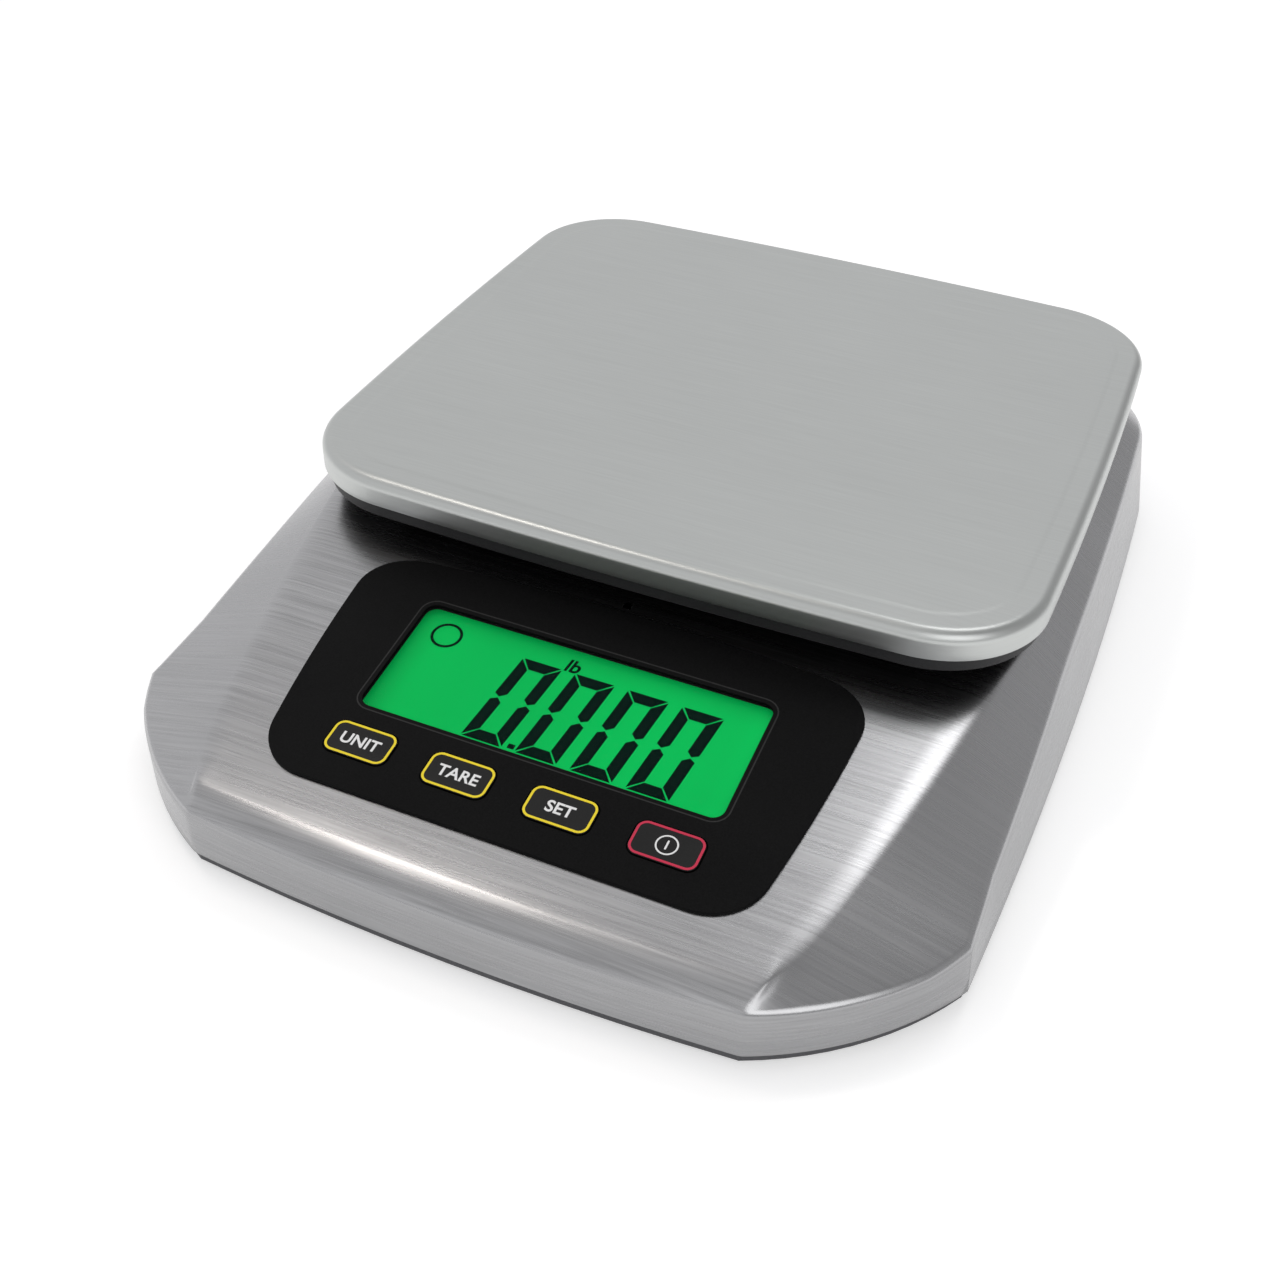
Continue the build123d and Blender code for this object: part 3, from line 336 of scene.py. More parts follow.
def moulded_plastic(name, colour, rough, grain_scale=2600.0, depth=0.04 * MM, speck=0.25, shine=0.4):
    """Moulded plastic with a fine spark-eroded grain."""
    material, shader = new_material(name)
    shader.inputs["Specular IOR Level"].default_value = shine
    grain = object_noise(material, grain_scale)
    cloud = object_noise(material, 30.0)
    dark = tuple(part * (1 - speck) for part in colour)
    light = tuple(min(1.0, part * (1 + speck)) for part in colour)
    base = ramp(material, grain, 0.3, 0.7, dark, light)
    link(material, base, shader.inputs["Base Color"])
    gloss = ramp(material, cloud, 0.3, 0.7, rough - 0.05, rough + 0.05)
    link(material, gloss, shader.inputs["Roughness"])
    bump(material, shader, grain, depth, 0.6)
    return material


def glowing(name, colour, strength):
    """A backlit surface: its own light with a slow unevenness."""
    material, shader = new_material(name)
    cloud = object_noise(material, 14.0, 2, 0.5)
    tint = ramp(material, cloud, 0.3, 0.7, tuple(part * 0.86 for part in colour), colour)
    link(material, tint, shader.inputs["Emission Color"])
    link(material, tint, shader.inputs["Base Color"])
    shader.inputs["Specular IOR Level"].default_value = 0.05
    shader.inputs["Emission Strength"].default_value = strength
    shader.inputs["Roughness"].default_value = 0.4
    return material


def clear_plastic(name):
    """A window that is nearly all see-through, with a faint sheen."""
    material, shader = new_material(name)
    smear = object_noise(material, 60.0)
    shader.inputs["Base Color"].default_value = (0.02, 0.03, 0.025, 1)
    shader.inputs["Alpha"].default_value = 0.03
    link(material, ramp(material, smear, 0.3, 0.7, 0.02, 0.05), shader.inputs["Roughness"])
    return material


# ---------------- mesh helpers
def new_object(name, data):
    """A new object in the scene."""
    obj = bpy.data.objects.new(name, data)
    bpy.context.collection.objects.link(obj)
    return obj


def dress(obj, body, material):
    """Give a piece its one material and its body."""
    obj.data.materials.clear()
    obj.data.materials.append(material)
    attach(obj, body)


def add_mesh(name, verts, faces, body, material):
    """A smooth mesh piece from points and faces."""
    mesh = bpy.data.meshes.new(name)
    mesh.from_pydata([tuple(v) for v in verts], [], faces)
    mesh.validate()
    bm = bmesh.new()
    bm.from_mesh(mesh)
    bmesh.ops.recalc_face_normals(bm, faces=bm.faces)
    bm.to_mesh(mesh)
    bm.free()
    mesh.shade_smooth()
    obj = new_object(name, mesh)
    dress(obj, body, material)
    return obj


def evaluated_mesh(obj):
    """The mesh that a curve, lettering or a mesh with modifiers comes to."""
    graph = bpy.context.evaluated_depsgraph_get()
    return bpy.data.meshes.new_from_object(obj.evaluated_get(graph))


def arc(a, m, b, count):
    """Points along the circle through three plan points, from a to b."""
    a, m, b = Vector(a), Vector(m), Vector(b)
    d = 2 * (a.x * (m.y - b.y) + m.x * (b.y - a.y) + b.x * (a.y - m.y))
    ux = (a.dot(a) * (m.y - b.y) + m.dot(m) * (b.y - a.y) + b.dot(b) * (a.y - m.y)) / d
    uy = (a.dot(a) * (b.x - m.x) + m.dot(m) * (a.x - b.x) + b.dot(b) * (m.x - a.x)) / d
    centre = Vector((ux, uy))
    radius = (a - centre).length
    start = math.atan2(a.y - uy, a.x - ux)
    middle = math.atan2(m.y - uy, m.x - ux)
    end = math.atan2(b.y - uy, b.x - ux)
    turn = 2 * math.pi
    to_end = (end - start) % turn
    if (middle - start) % turn > to_end:
        to_end -= turn
    angles = [start + to_end * i / (count - 1) for i in range(count)]
    return [centre + Vector((math.cos(t), math.sin(t))) * radius for t in angles]


def bend(start, corner, end, count):
    """Points of a curve from start to end that is pulled towards the corner."""
    times = [i / (count - 1) for i in range(count)]
    return [start * (1 - t) ** 2 + corner * 2 * t * (1 - t) + end * t * t for t in times]


def pulled(start, first, second, end, t):
    """A point of a cubic curve from start to end with two handles."""
    return start * (1 - t) ** 3 + first * 3 * t * (1 - t) ** 2 + second * 3 * t * t * (1 - t) + end * t**3


def soften(points, corner, size, count=SOFT_POINTS):
    """The short curve that replaces one corner of a chain."""
    here = points[corner]
    reach = []
    for other in (points[corner - 1], points[corner + 1]):
        reach.append(here + (other - here).normalized() * min(size, (other - here).length * 0.48))
    return bend(reach[0], here, reach[1], count)


def skin(rings):
    """Quads between equal closed rings of points: vertices and faces."""
    count = len(rings[0])
    verts = [point for ring in rings for point in ring]
    faces = []
    for row in range(len(rings) - 1):
        here = row * count
        there = here + count
        for i in range(count):
            j = (i + 1) % count
            faces.append((here + i, here + j, there + j, there + i))
    return verts, faces


def weight_normals(obj):
    """Shade by the larger faces, so that flat parts look flat."""
    modifier = obj.modifiers.new("even shading", "WEIGHTED_NORMAL")
    modifier.keep_sharp = True
    modifier.weight = 80


def cut(obj, cutters):
    """Subtract closed meshes from a piece, then delete them."""
    for cutter in cutters:
        modifier = obj.modifiers.new("cut", "BOOLEAN")
        modifier.operation = "DIFFERENCE"
        modifier.solver = "EXACT"
        modifier.object = cutter
    apply_modifiers(obj)
    for cutter in cutters:
        bpy.data.objects.remove(cutter, do_unlink=True)


def apply_modifiers(obj):
    """Turn the evaluated mesh into the piece's own mesh."""
    mesh = evaluated_mesh(obj)
    obj.modifiers.clear()
    obj.data = mesh


# ---------------- pressed housing
def deck_z(y):
    """Height of the deck: the display slope, easing into the level part under the platform."""
    slope = DECK_ORIGIN.z + (y - DECK_ORIGIN.y) * SLOPE
    gap = (DECK_LEVEL - slope) / DECK_EASE
    if gap > EASE_LIMIT:
        return slope
    if gap < -EASE_LIMIT:
        return DECK_LEVEL
    return DECK_LEVEL - DECK_EASE * DECK_BEND * math.log1p(math.exp(gap / DECK_BEND))


def rim_z(y):
    """Height of the fold between the rim wall and the facet."""
    front = RIM_BOTTOM + RIM_HEIGHT
    start = FRONT_Y + FRONT_BOW + CHAMFER[1]
    rise = RIM_RISE * (y - start)
    low = front + RIM_EASE * math.log1p(math.exp(min(rise / RIM_EASE, 50)))
    high = RIM_BOTTOM + RIM_TALL
    return high - RIM_EASE * math.log1p(math.exp(min((high - low) / RIM_EASE, 50)))


def housing_paths():
    """Pairs of rim and crease points, from the front's middle to the back's middle."""
    corner = Vector((CORNER_X, FRONT_Y + FRONT_BOW))
    end = corner + Vector(CHAMFER)
    out = Vector((CHAMFER[1], -CHAMFER[0])).normalized()
    bulge = (corner + end) / 2 + out * CHAMFER_BOW
    round_y = BACK_Y - BACK_RADIUS
    round_x = HALF_WIDTH - BACK_BOW - BACK_RADIUS
    side_end = Vector((round_x + BACK_RADIUS, round_y))
    back_start = Vector((round_x, BACK_Y - BACK_BOW))
    diagonal = BACK_RADIUS * math.sqrt(0.5)
    front_middle = (CORNER_X / 2, FRONT_Y + FRONT_BOW * BOW_HALFWAY)
    front = arc((0, FRONT_Y), front_middle, corner, FRONT_POINTS)
    chamfer = arc(corner, bulge, end, CHAMFER_POINTS)
    side = arc(end, (HALF_WIDTH, (end.y + round_y) / 2 + SIDE_BOW), side_end, 60)
    back_middle = (round_x + diagonal, round_y + diagonal - BACK_BOW / 2)
    back_corner = arc(side_end, back_middle, back_start, 18)
    back = arc(back_start, (round_x / 2, BACK_Y - BACK_BOW / 4), (0, BACK_Y), 12)
    crease = arc(corner, CREASE_MID, CREASE_BACK, CREASE_POINTS)
    ridge_y = FRONT_Y + RIDGE_SETBACK
    ridge_end = next(p for p in crease if p.y > ridge_y + RIDGE_BOW)
    first = crease.index(ridge_end)
    ridge = arc((0, ridge_y), (ridge_end.x / 2, ridge_y + RIDGE_BOW / 4), ridge_end, FRONT_POINTS)
    pairs = list(zip(front, ridge))
    split = CREASE_POINTS * CREASE_SPLIT
    for i in range(1, CHAMFER_POINTS):
        share = i / (CHAMFER_POINTS - 1)
        at = first + (split - first) * share ** 0.9
        pairs.append((chamfer[i], crease[int(round(at))]))
    joined = [p for p in side if p.y < CREASE_BACK[1]]
    for i, point in enumerate(joined[1:], 1):
        at = split + (CREASE_POINTS - 1 - split) * i / (len(joined) - 1)
        pairs.append((point, crease[int(round(at))]))
    rest = side[len(joined):] + back_corner[1:] + back[1:]
    for i, point in enumerate(rest):
        after = rest[min(i + 1, len(rest) - 1)]
        before = rest[i - 1] if i else joined[-1]
        along = (after - before).normalized()
        inward = Vector((-along.y, along.x))
        pairs.append((point, point + inward * FACET_WIDTH))
    pairs[-1] = (pairs[-1][0], Vector((0, pairs[-1][1].y)))
    return pairs


def smooth_path(points, times):
    """Even out a chain of plan points, keeping its ends."""
    for _ in range(times):
        inner = [(points[i - 1] + points[i] * 2 + points[i + 1]) / 4 for i in range(1, len(points) - 1)]
        points = [points[0]] + inner + [points[-1]]
    return points


def housing_sections():
    """Profiles from the bottom of the rim to just inside the crease, all round."""
    pairs = housing_paths()
    corner_at = FRONT_POINTS - 1
    corner_index = corner_at + SOFT_POINTS // 2
    end_index = corner_at + SOFT_POINTS - 1 + CHAMFER_POINTS - 1
    rim = dense_corner([p[0] for p in pairs], corner_at, 1.6 * MM)
    crease = dense_corner([p[1] for p in pairs], corner_at, 3.0 * MM)
    crease = smooth_path(crease, 3)
    sections = []
    for i, (foot, inner) in enumerate(zip(rim, crease)):
        before = rim[i - 1] if i else Vector((-rim[1].x, rim[1].y))
        after = rim[i + 1] if i < len(rim) - 1 else Vector((-rim[-2].x, rim[-2].y))
        along = (after - before).normalized()
        inward = Vector((-along.y, along.x))
        height = rim_z(foot.y) - RIM_BOTTOM
        drafted = min(max((i - end_index + DRAFT_FADE / 2) / DRAFT_FADE, 0), 1)
        fold = foot + inward * WALL_DRAFT * drafted * height
        sections.append(profile(foot, fold, inner, i - corner_index))
    return sections


def dense_corner(points, corner, size):
    """A plan chain with one corner rounded by extra points."""
    return points[:corner] + soften(points, corner, size) + points[corner + 1:]


def towards_core(point, width_share):
    """Where a point of the deck heads for as the mesh closes in on the deck's middle."""
    return Vector((point.x * width_share, CORE_Y + CORE_SHARE * (point.y - CORE_Y)))


def profile(foot, fold, inner, past_corner):
    """One profile of the housing: wall, rounded fold, facet or rolled apron, soft crease, deck."""
    low = Vector((foot.x, foot.y, RIM_BOTTOM))
    top = Vector((fold.x, fold.y, rim_z(foot.y)))
    high = Vector((inner.x, inner.y, deck_z(inner.y)))
    step = (towards_core(inner, CORE_SHARE) - inner).normalized() * DECK_SIDE
    deck = Vector((inner.x + step.x, inner.y + step.y, deck_z(inner.y + step.y)))
    apron = min(max(1 - (past_corner + 2) / APRON_FADE, 0.0), 1.0)
    run, rise = high.y - top.y, high.z - top.z
    pull = 2 - SLOPE * run / rise
    middle = []
    for i in range(1, 10):
        t = i / 10
        point = top.lerp(high, t)
        rolled = top.z + rise * (pull * t + (1 - pull) * t * t)
        point.z += (rolled - point.z) * apron
        middle.append(point)
    wall = [low, low.lerp(top, 0.33), low.lerp(top, 0.66)]
    fold_curve = soften([wall[-1], top, middle[2]], 1, FOLD_ROUND, 7)
    facet_side = high + (middle[-2] - high).normalized() * CREASE_ROUND
    deck_side = high + (deck - high) * CREASE_SHARE
    return wall + fold_curve + middle[2:7] + bend(facet_side, high, deck_side, 11) + [deck]


def make_housing(material):
    """The pressed shell: profiles all round, rings that close in over the deck, then its openings."""
    sections = housing_sections()
    left = [[Vector((-p.x, p.y, p.z)) for p in section] for section in sections[-2:0:-1]]
    loop = sections + left
    rings = [list(ring) for ring in zip(*loop)]
    inner = rings[-1]
    for step in range(1, DECK_RINGS):
        ring = []
        for p in inner:
            q = Vector((p.x, p.y)).lerp(towards_core(p, CORE_WIDTH_SHARE), step / DECK_RINGS)
            ring.append(Vector((q.x, q.y, deck_z(q.y))))
        rings.append(ring)
    verts, faces = skin(rings)
    count = len(loop)
    last = (len(rings) - 1) * count
    for i in range(count // 2):
        near = (last + i, last + i + 1)
        far = (last + (count - i - 1) % count, last + (count - i) % count)
        faces.append(tuple(dict.fromkeys(near + far)))
    shell = add_mesh("housing_skin", verts, faces, "housing", material)
    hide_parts("housing_shell")
    flip_outwards(shell)
    solid = shell.modifiers.new("sheet", "SOLIDIFY")
    solid.thickness = SHEET
    solid.offset = -1
    apply_modifiers(shell)
    cut(shell, housing_cutters())
    weight_normals(shell)


def flip_outwards(obj):
    """Make an open sheet's faces look up."""
    total = sum(face.normal.z * face.area for face in obj.data.polygons)
    if total < 0:
        obj.data.flip_normals()


def housing_cutters():
    """Solids that open the deck for the window, the key stems and the platform posts."""
    slab = bmesh.new()
    bmesh.ops.create_cube(slab, size=1)
    slab.transform(DECK @ Matrix.Diagonal((*LENS_HOLE, LENS_HOLE_DEPTH, 1)))
    cutters = [new_cutter(slab)]
    for name in KEYS:
        place = DECK @ Matrix.Translation((key_centre(name), KEY_ROW, 0))
        cutters.append(round_cutter(place, STEM_HOLE_RADIUS))
    low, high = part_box("support_posts")
    for x in (low[0] + POST_RADIUS, high[0] - POST_RADIUS):
        for y in (low[1] + POST_RADIUS, high[1] - POST_RADIUS):
            cutters.append(round_cutter(Matrix.Translation((x, y, DECK_LEVEL)), POST_HOLE_RADIUS))
    return cutters


def new_cutter(bm):
    """A cutting solid from a bmesh, which is freed."""
    mesh = bpy.data.meshes.new("cutter")
    bm.to_mesh(mesh)
    bm.free()
    return new_object("cutter", mesh)


def round_cutter(place, radius):
    """A cutting drum, centred on a place."""
    bm = bmesh.new()
    bmesh.ops.create_cone(
        bm, cap_ends=True, segments=48, radius1=radius, radius2=radius, depth=ROUND_CUTTER_DEPTH
    )
    bm.transform(place)
    return new_cutter(bm)


# ---------------- platform pan
PAN_BOW = (2.4 * MM, 3.1 * MM)
PAN_CORNER = 33.7 * MM
PAN_SHEET = 0.9 * MM
PAN_EDGE = 3.6 * MM
PAN_HEM = 0.15 * MM
PAN_HANDLE = 0.39
PAN_SIDE_POINTS = 20
PAN_CORNER_POINTS = 26
PAN_FLAT_INSET = 20 * MM
PAN_HUB_SHARES = (0.3, 0.6, 0.85)
STEP_INSET = 9.0 * MM
STEP_WIDTH = 2.0 * MM
STEP_DEPTH = 0.15 * MM


def pan_outline(inset):
    """Platform outline: bowed sides with round corners, moved in by the inset."""
    half_x = (PAN_HIGH[0] - PAN_LOW[0]) / 2 - inset
    half_y = (PAN_HIGH[1] - PAN_LOW[1]) / 2 - inset
    radius = max(PAN_CORNER - inset, 2 * MM)
    reach_y = half_y - radius
    reach_x = half_x - radius
    bow_x = PAN_BOW[0] * (reach_y / half_y) ** 2
    bow_y = PAN_BOW[1] * (reach_x / half_x) ** 2
    quarter = []
    for i in range(PAN_SIDE_POINTS):
        y = reach_y * i / PAN_SIDE_POINTS
        quarter.append(Vector((half_x - bow_x * (y / reach_y) ** 2, y)))
    start = Vector((half_x - bow_x, reach_y))
    end = Vector((reach_x, half_y - bow_y))
    handle = (start - end).length * PAN_HANDLE
    first = start + Vector((-2 * bow_x / reach_y, 1)).normalized() * handle
    second = end + Vector((1, -2 * bow_y / reach_x)).normalized() * handle
    for i in range(PAN_CORNER_POINTS):
        quarter.append(pulled(start, first, second, end, i / PAN_CORNER_POINTS))
    for i in range(PAN_SIDE_POINTS + 1):
        x = reach_x * (1 - i / PAN_SIDE_POINTS)
        quarter.append(Vector((x, half_y - bow_y * (x / reach_x) ** 2)))
    points = quarter[:]
    points += [Vector((-p.x, p.y)) for p in quarter[-2::-1]]
    points += [Vector((-p.x, -p.y)) for p in quarter[1:]]
    points += [Vector((p.x, -p.y)) for p in quarter[-2:0:-1]]
    return points


def pan_ring(inset, z):
    """The platform's outline at one height."""
    return [Vector((p.x, p.y + PAN_Y, z)) for p in pan_outline(inset)]


def shrunk(ring, share):
    """A ring drawn towards the platform's middle by a share of the way."""
    return [Vector((p.x * (1 - share), PAN_Y + (p.y - PAN_Y) * (1 - share), p.z)) for p in ring]


def make_pan(material):
    """The platform: a folded tray of sheet with a faint pressed step round its top."""
    top = PAN_TOP
    low = PAN_LOW[2]
    lower = top - STEP_DEPTH
    under = top - PAN_SHEET
    levels = [(PAN_FLAT_INSET, under), (12 * MM, under), (STEP_INSET, lower - PAN_SHEET)]
    for i in range(6):
        t = math.pi / 2 * i / 5
        radius = PAN_EDGE - PAN_SHEET
        levels.append((PAN_EDGE - radius * math.sin(t), lower - PAN_EDGE + radius * math.cos(t)))
    levels += [(PAN_SHEET, low + PAN_HEM), (PAN_SHEET * 0.8, low), (PAN_SHEET * 0.2, low)]
    levels += [(0, low + PAN_HEM), (0, low + 2 * MM)]
    for i in range(10):
        t = math.pi / 2 * i / 9
        levels.append((PAN_EDGE * (1 - math.cos(t)), lower - PAN_EDGE + PAN_EDGE * math.sin(t)))
    for i in range(5):
        t = i / 4
        ease = t * t * (3 - 2 * t)
        levels.append((STEP_INSET - STEP_WIDTH / 2 + STEP_WIDTH * t, lower + STEP_DEPTH * ease))
    levels += [(STEP_INSET + STEP_WIDTH, top), (PAN_FLAT_INSET, top)]
    folded = [pan_ring(inset, z) for inset, z in levels]
    rings = [shrunk(folded[0], share) for share in reversed(PAN_HUB_SHARES)]
    rings += folded
    rings += [shrunk(folded[-1], share) for share in PAN_HUB_SHARES]
    count = len(rings[0])
    verts, faces = skin(rings)
    for row, z in ((0, under), (len(rings) - 1, top)):
        verts.append(Vector((0, PAN_Y, z)))
        hub = len(verts) - 1
        faces += [(row * count + i, row * count + (i + 1) % count, hub) for i in range(count)]
    pan = add_mesh("pan_sheet", verts, faces, "platform", material)
    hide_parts("platform_pan")
    weight_normals(pan)


# ---------------- display panel
OVERLAY_THICK = 1.0 * MM
OVERLAY_EDGE = 0.18 * MM
OVERLAY_TOP = 37.9 * MM
OVERLAY_TOP_CORNER = (78.0 * MM, 33.6 * MM)
OVERLAY_LOW_CORNER = (69.2 * MM, -48.3 * MM)
OVERLAY_BULGE = 1.7 * MM
OVERLAY_CORNER = 13.0 * MM
OVERLAY_HANDLE = 0.58
WINDOW = (106.6 * MM, 41.2 * MM)
WINDOW_CORNER = 3.4 * MM
WINDOW_LINE = (1.6 * MM, 1.2 * MM)
KEYS = ("key_unit", "key_tare", "key_set", "key_power")
KEY_SIZE = (19.0 * MM, 10.9 * MM)
KEY_CORNER = 3.0 * MM
KEY_GAP = 0.3 * MM
KEY_ROW = -33.0 * MM
KEY_SINK = 0.2 * MM
KEY_THICK = 0.56 * MM
KEY_CROWN = 0.04 * MM
KEY_BORDER = (0.2 * MM, 0.88 * MM)
STEM_RADIUS = 2.0 * MM
STEM_TIP_RADIUS = 1.7 * MM
STEM_END = -2.25 * MM
WELL_MARGIN = 1.5 * MM
WELL_HOLE = 2.4 * MM
LEAF = 0.06 * MM
LEAF_EDGE = 0.01 * MM
LEGEND_HEIGHT = 3.5 * MM
LETTER_WEIGHT = 0.11 * MM
CAPITAL_SHARE = 0.69


def round_corners(corners, radius):
    """A plan chain with each corner replaced by a tangent curve."""
    result = []
    total = len(corners)
    for i, here in enumerate(corners):
        before = (corners[i - 1] - here).normalized()
        after = (corners[(i + 1) % total] - here).normalized()
        angle = before.angle(after)
        reach = radius / math.tan(angle / 2)
        start, end = here + before * reach, here + after * reach
        bisector = (before + after).normalized()
        centre = here + bisector * radius / math.sin(angle / 2)
        middle = centre - bisector * radius
        result += arc(start, middle, end, 9)
    return result


def rectangle(size, radius, x=0.0, y=0.0, inset=0.0):
    """A rounded rectangle on the deck, moved in by the inset."""
    half_x, half_y = size[0] / 2 - inset, size[1] / 2 - inset
    signs = ((-1, -1), (1, -1), (1, 1), (-1, 1))
    corners = [Vector((x + sx * half_x, y + sy * half_y)) for sx, sy in signs]
    return round_corners(corners, max(radius - inset, 0.2 * MM))


def overlay_outline():
    """The display panel's outline: bowed top and sides, narrower towards the operator."""
    top_x, top_y = OVERLAY_TOP_CORNER
    low_x, low_y = OVERLAY_LOW_CORNER
    middle = Vector(((top_x + low_x) / 2 + OVERLAY_BULGE, (top_y + low_y) / 2))
    right = arc((low_x, low_y), middle, (top_x, top_y), 25)
    top = arc((top_x, top_y), (0, OVERLAY_TOP), (-top_x, top_y), 41)
    left = [Vector((-p.x, p.y)) for p in reversed(right)]
    return join_sides(right, top, left, OVERLAY_CORNER)


def join_sides(right, top, left, radius):
    """Join the panel's sides and a straight lower edge with rounded corners."""
    low_right, high_right = right[0], right[-1]
    high_left, low_left = left[0], left[-1]
    low_edge = [low_left.lerp(low_right, t / 20) for t in range(21)]
    chains = []
    for side in (right, top, left, low_edge):
        ends = (side[0], side[-1])
        chains.append([p for p in side if min((p - end).length for end in ends) > radius * 1.02])
    corners = [high_right, high_left, low_left, low_right]
    outline = []
    for chain, following, corner in zip(chains, chains[1:] + chains[:1], corners):
        outline += chain
        start, end = chain[-1], following[0]
        first, second = start.lerp(corner, OVERLAY_HANDLE), end.lerp(corner, OVERLAY_HANDLE)
        outline += [pulled(start, first, second, end, i / 12) for i in range(1, 12)]
    return outline


def flat_curve(name, outlines, low, high, bevel, body, material):
    """A plate parallel to the deck with rounded edges and holes, from closed outlines."""
    data = bpy.data.curves.new(name, "CURVE")
    data.dimensions = "2D"
    data.fill_mode = "BOTH"
    data.extrude = (high - low) / 2 - bevel
    data.bevel_depth = bevel
    data.bevel_resolution = 2
    data.offset = -bevel
    for outline in outlines:
        spline = data.splines.new("POLY")
        spline.points.add(len(outline) - 1)
        for point, at in zip(spline.points, outline):
            point.co = (at.x, at.y, 0, 1)
        spline.use_cyclic_u = True
    source = new_object(name, data)
    mesh = evaluated_mesh(source)
    bpy.data.objects.remove(source, do_unlink=True)
    bm = bmesh.new()
    bm.from_mesh(mesh)
    bmesh.ops.remove_doubles(bm, verts=bm.verts, dist=WELD)
    bm.transform(DECK @ Matrix.Translation((0, 0, (low + high) / 2)))
    bm.to_mesh(mesh)
    bm.free()
    mesh.name = name
    obj = new_object(name, mesh)
    dress(obj, body, material)
    for polygon in mesh.polygons:
        polygon.material_index = 0
    return obj


def key_centre(name):
    """Where a key stands along the row."""
    low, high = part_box(name)
    return (low[0] + high[0]) / 2


def make_overlay(material):
    """The black display panel with its openings, and a dark well under each key."""
    holes = [rectangle(WINDOW, WINDOW_CORNER)]
    for name in KEYS:
        size = (KEY_SIZE[0] + 2 * KEY_GAP, KEY_SIZE[1] + 2 * KEY_GAP)
        holes.append(rectangle(size, KEY_CORNER + KEY_GAP, key_centre(name), KEY_ROW))
    outlines = [overlay_outline()] + holes
    plate = flat_curve(
        "overlay_panel", outlines, 0, OVERLAY_THICK, OVERLAY_EDGE, "housing", material
    )
    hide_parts("display_overlay")
    well = (KEY_SIZE[0] + 2 * WELL_MARGIN, KEY_SIZE[1] + 2 * WELL_MARGIN)
    for name in KEYS:
        x = key_centre(name)
        liner = [rectangle(well, KEY_CORNER, x, KEY_ROW), circle(WELL_HOLE, x, KEY_ROW)]
        flat_curve(name + "_well", liner, 0, LEAF, LEAF_EDGE, "housing", material)


def make_window_line(material):
    """Thin printed line round the display window."""
    lines = []
    for gap in WINDOW_LINE:
        lines.append(rectangle((WINDOW[0] + 2 * gap, WINDOW[1] + 2 * gap), WINDOW_CORNER + gap))
    low, high = OVERLAY_THICK - 0.1 * MM, OVERLAY_THICK + 0.02 * MM
    flat_curve("window_line", lines, low, high, LEAF_EDGE, "housing", material)


# ---------------- keys
def make_key(name, body_material, line_material, ink):
    """A press key: domed black cap with a coloured border line and a white legend."""
    x = key_centre(name)
    body = name + "_cap"
    low = OVERLAY_THICK - KEY_SINK
    top = low + KEY_THICK
    levels = [(0.0, low), (0.0, low + 0.35 * MM), (0.08 * MM, low + 0.5 * MM), (0.22 * MM, top)]
    for inset in (0.7, 1.4, 2.2, 3.2, 4.2, 5.0):
        rise = KEY_CROWN * (1 - ((KEY_SIZE[1] / 2 - inset * MM) / (KEY_SIZE[1] / 2)) ** 2)
        levels.append((inset * MM, top + rise))
    rings = []
    for inset, z in levels:
        outline = rectangle(KEY_SIZE, KEY_CORNER, x, KEY_ROW, inset)
        rings.append([Vector((p.x, p.y, z)) for p in outline])
    verts, faces = capped(rings)
    stem = []
    for radius, z in ((STEM_RADIUS, low), (STEM_RADIUS, STEM_END + 0.3 * MM), (STEM_TIP_RADIUS, STEM_END)):
        stem.append([Vector((p.x, p.y, z)) for p in circle(radius, x, KEY_ROW, 32)])
    stem_verts, stem_faces = capped(stem)
    shift = len(verts)
    faces += [tuple(shift + i for i in face) for face in stem_faces]
    verts = [DECK @ v for v in verts + stem_verts]
    slot = "key_black_red" if name == "key_power" else "key_black_yellow"
    cap = add_mesh(body + "_skin", verts, faces, body, body_material)
    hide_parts(name)
    weight_normals(cap)
    border = [rectangle(KEY_SIZE, KEY_CORNER, x, KEY_ROW, inset) for inset in KEY_BORDER]
    low_line, high_line = top - 0.1 * MM, top + 0.07 * MM
    flat_curve(name + "_border", border, low_line, high_line, 0.03 * MM, body, line_material)
    legend_z = top + 0.045 * MM
    if name == "key_power":
        make_power_symbol(name, x, legend_z, ink)
    else:
        word = name.split("_")[1].upper()
        make_text(name + "_legend", word, x, KEY_ROW, LEGEND_HEIGHT, legend_z, body, ink, slot)


def capped(rings):
    """A closed solid from rings, with its first and last ring filled."""
    verts, faces = skin(rings)
    count = len(rings[0])
    faces.append(tuple(range(count)))
    faces.append(tuple(len(verts) - count + i for i in range(count)))
    return verts, faces


def circle(radius, x, y, count=48):
    """Points round a circle on the deck."""
    angles = [2 * math.pi * i / count for i in range(count)]
    return [Vector((x + radius * math.cos(t), y + radius * math.sin(t))) for t in angles]


def make_power_symbol(name, x, z, ink):
    """A ring with a bar: the generic standby mark."""
    body = name + "_cap"
    low, high = z - 0.02 * MM, z + 0.02 * MM
    rings = [circle(3.05 * MM, x, KEY_ROW), circle(2.6 * MM, x, KEY_ROW)]
    flat_curve(name + "_ring", rings, low, high, 0.005 * MM, body, ink)
    bar = [rectangle((0.5 * MM, 2.9 * MM), 0.2 * MM, x, KEY_ROW)]
    flat_curve(name + "_bar", bar, low, high, 0.005 * MM, body, ink)


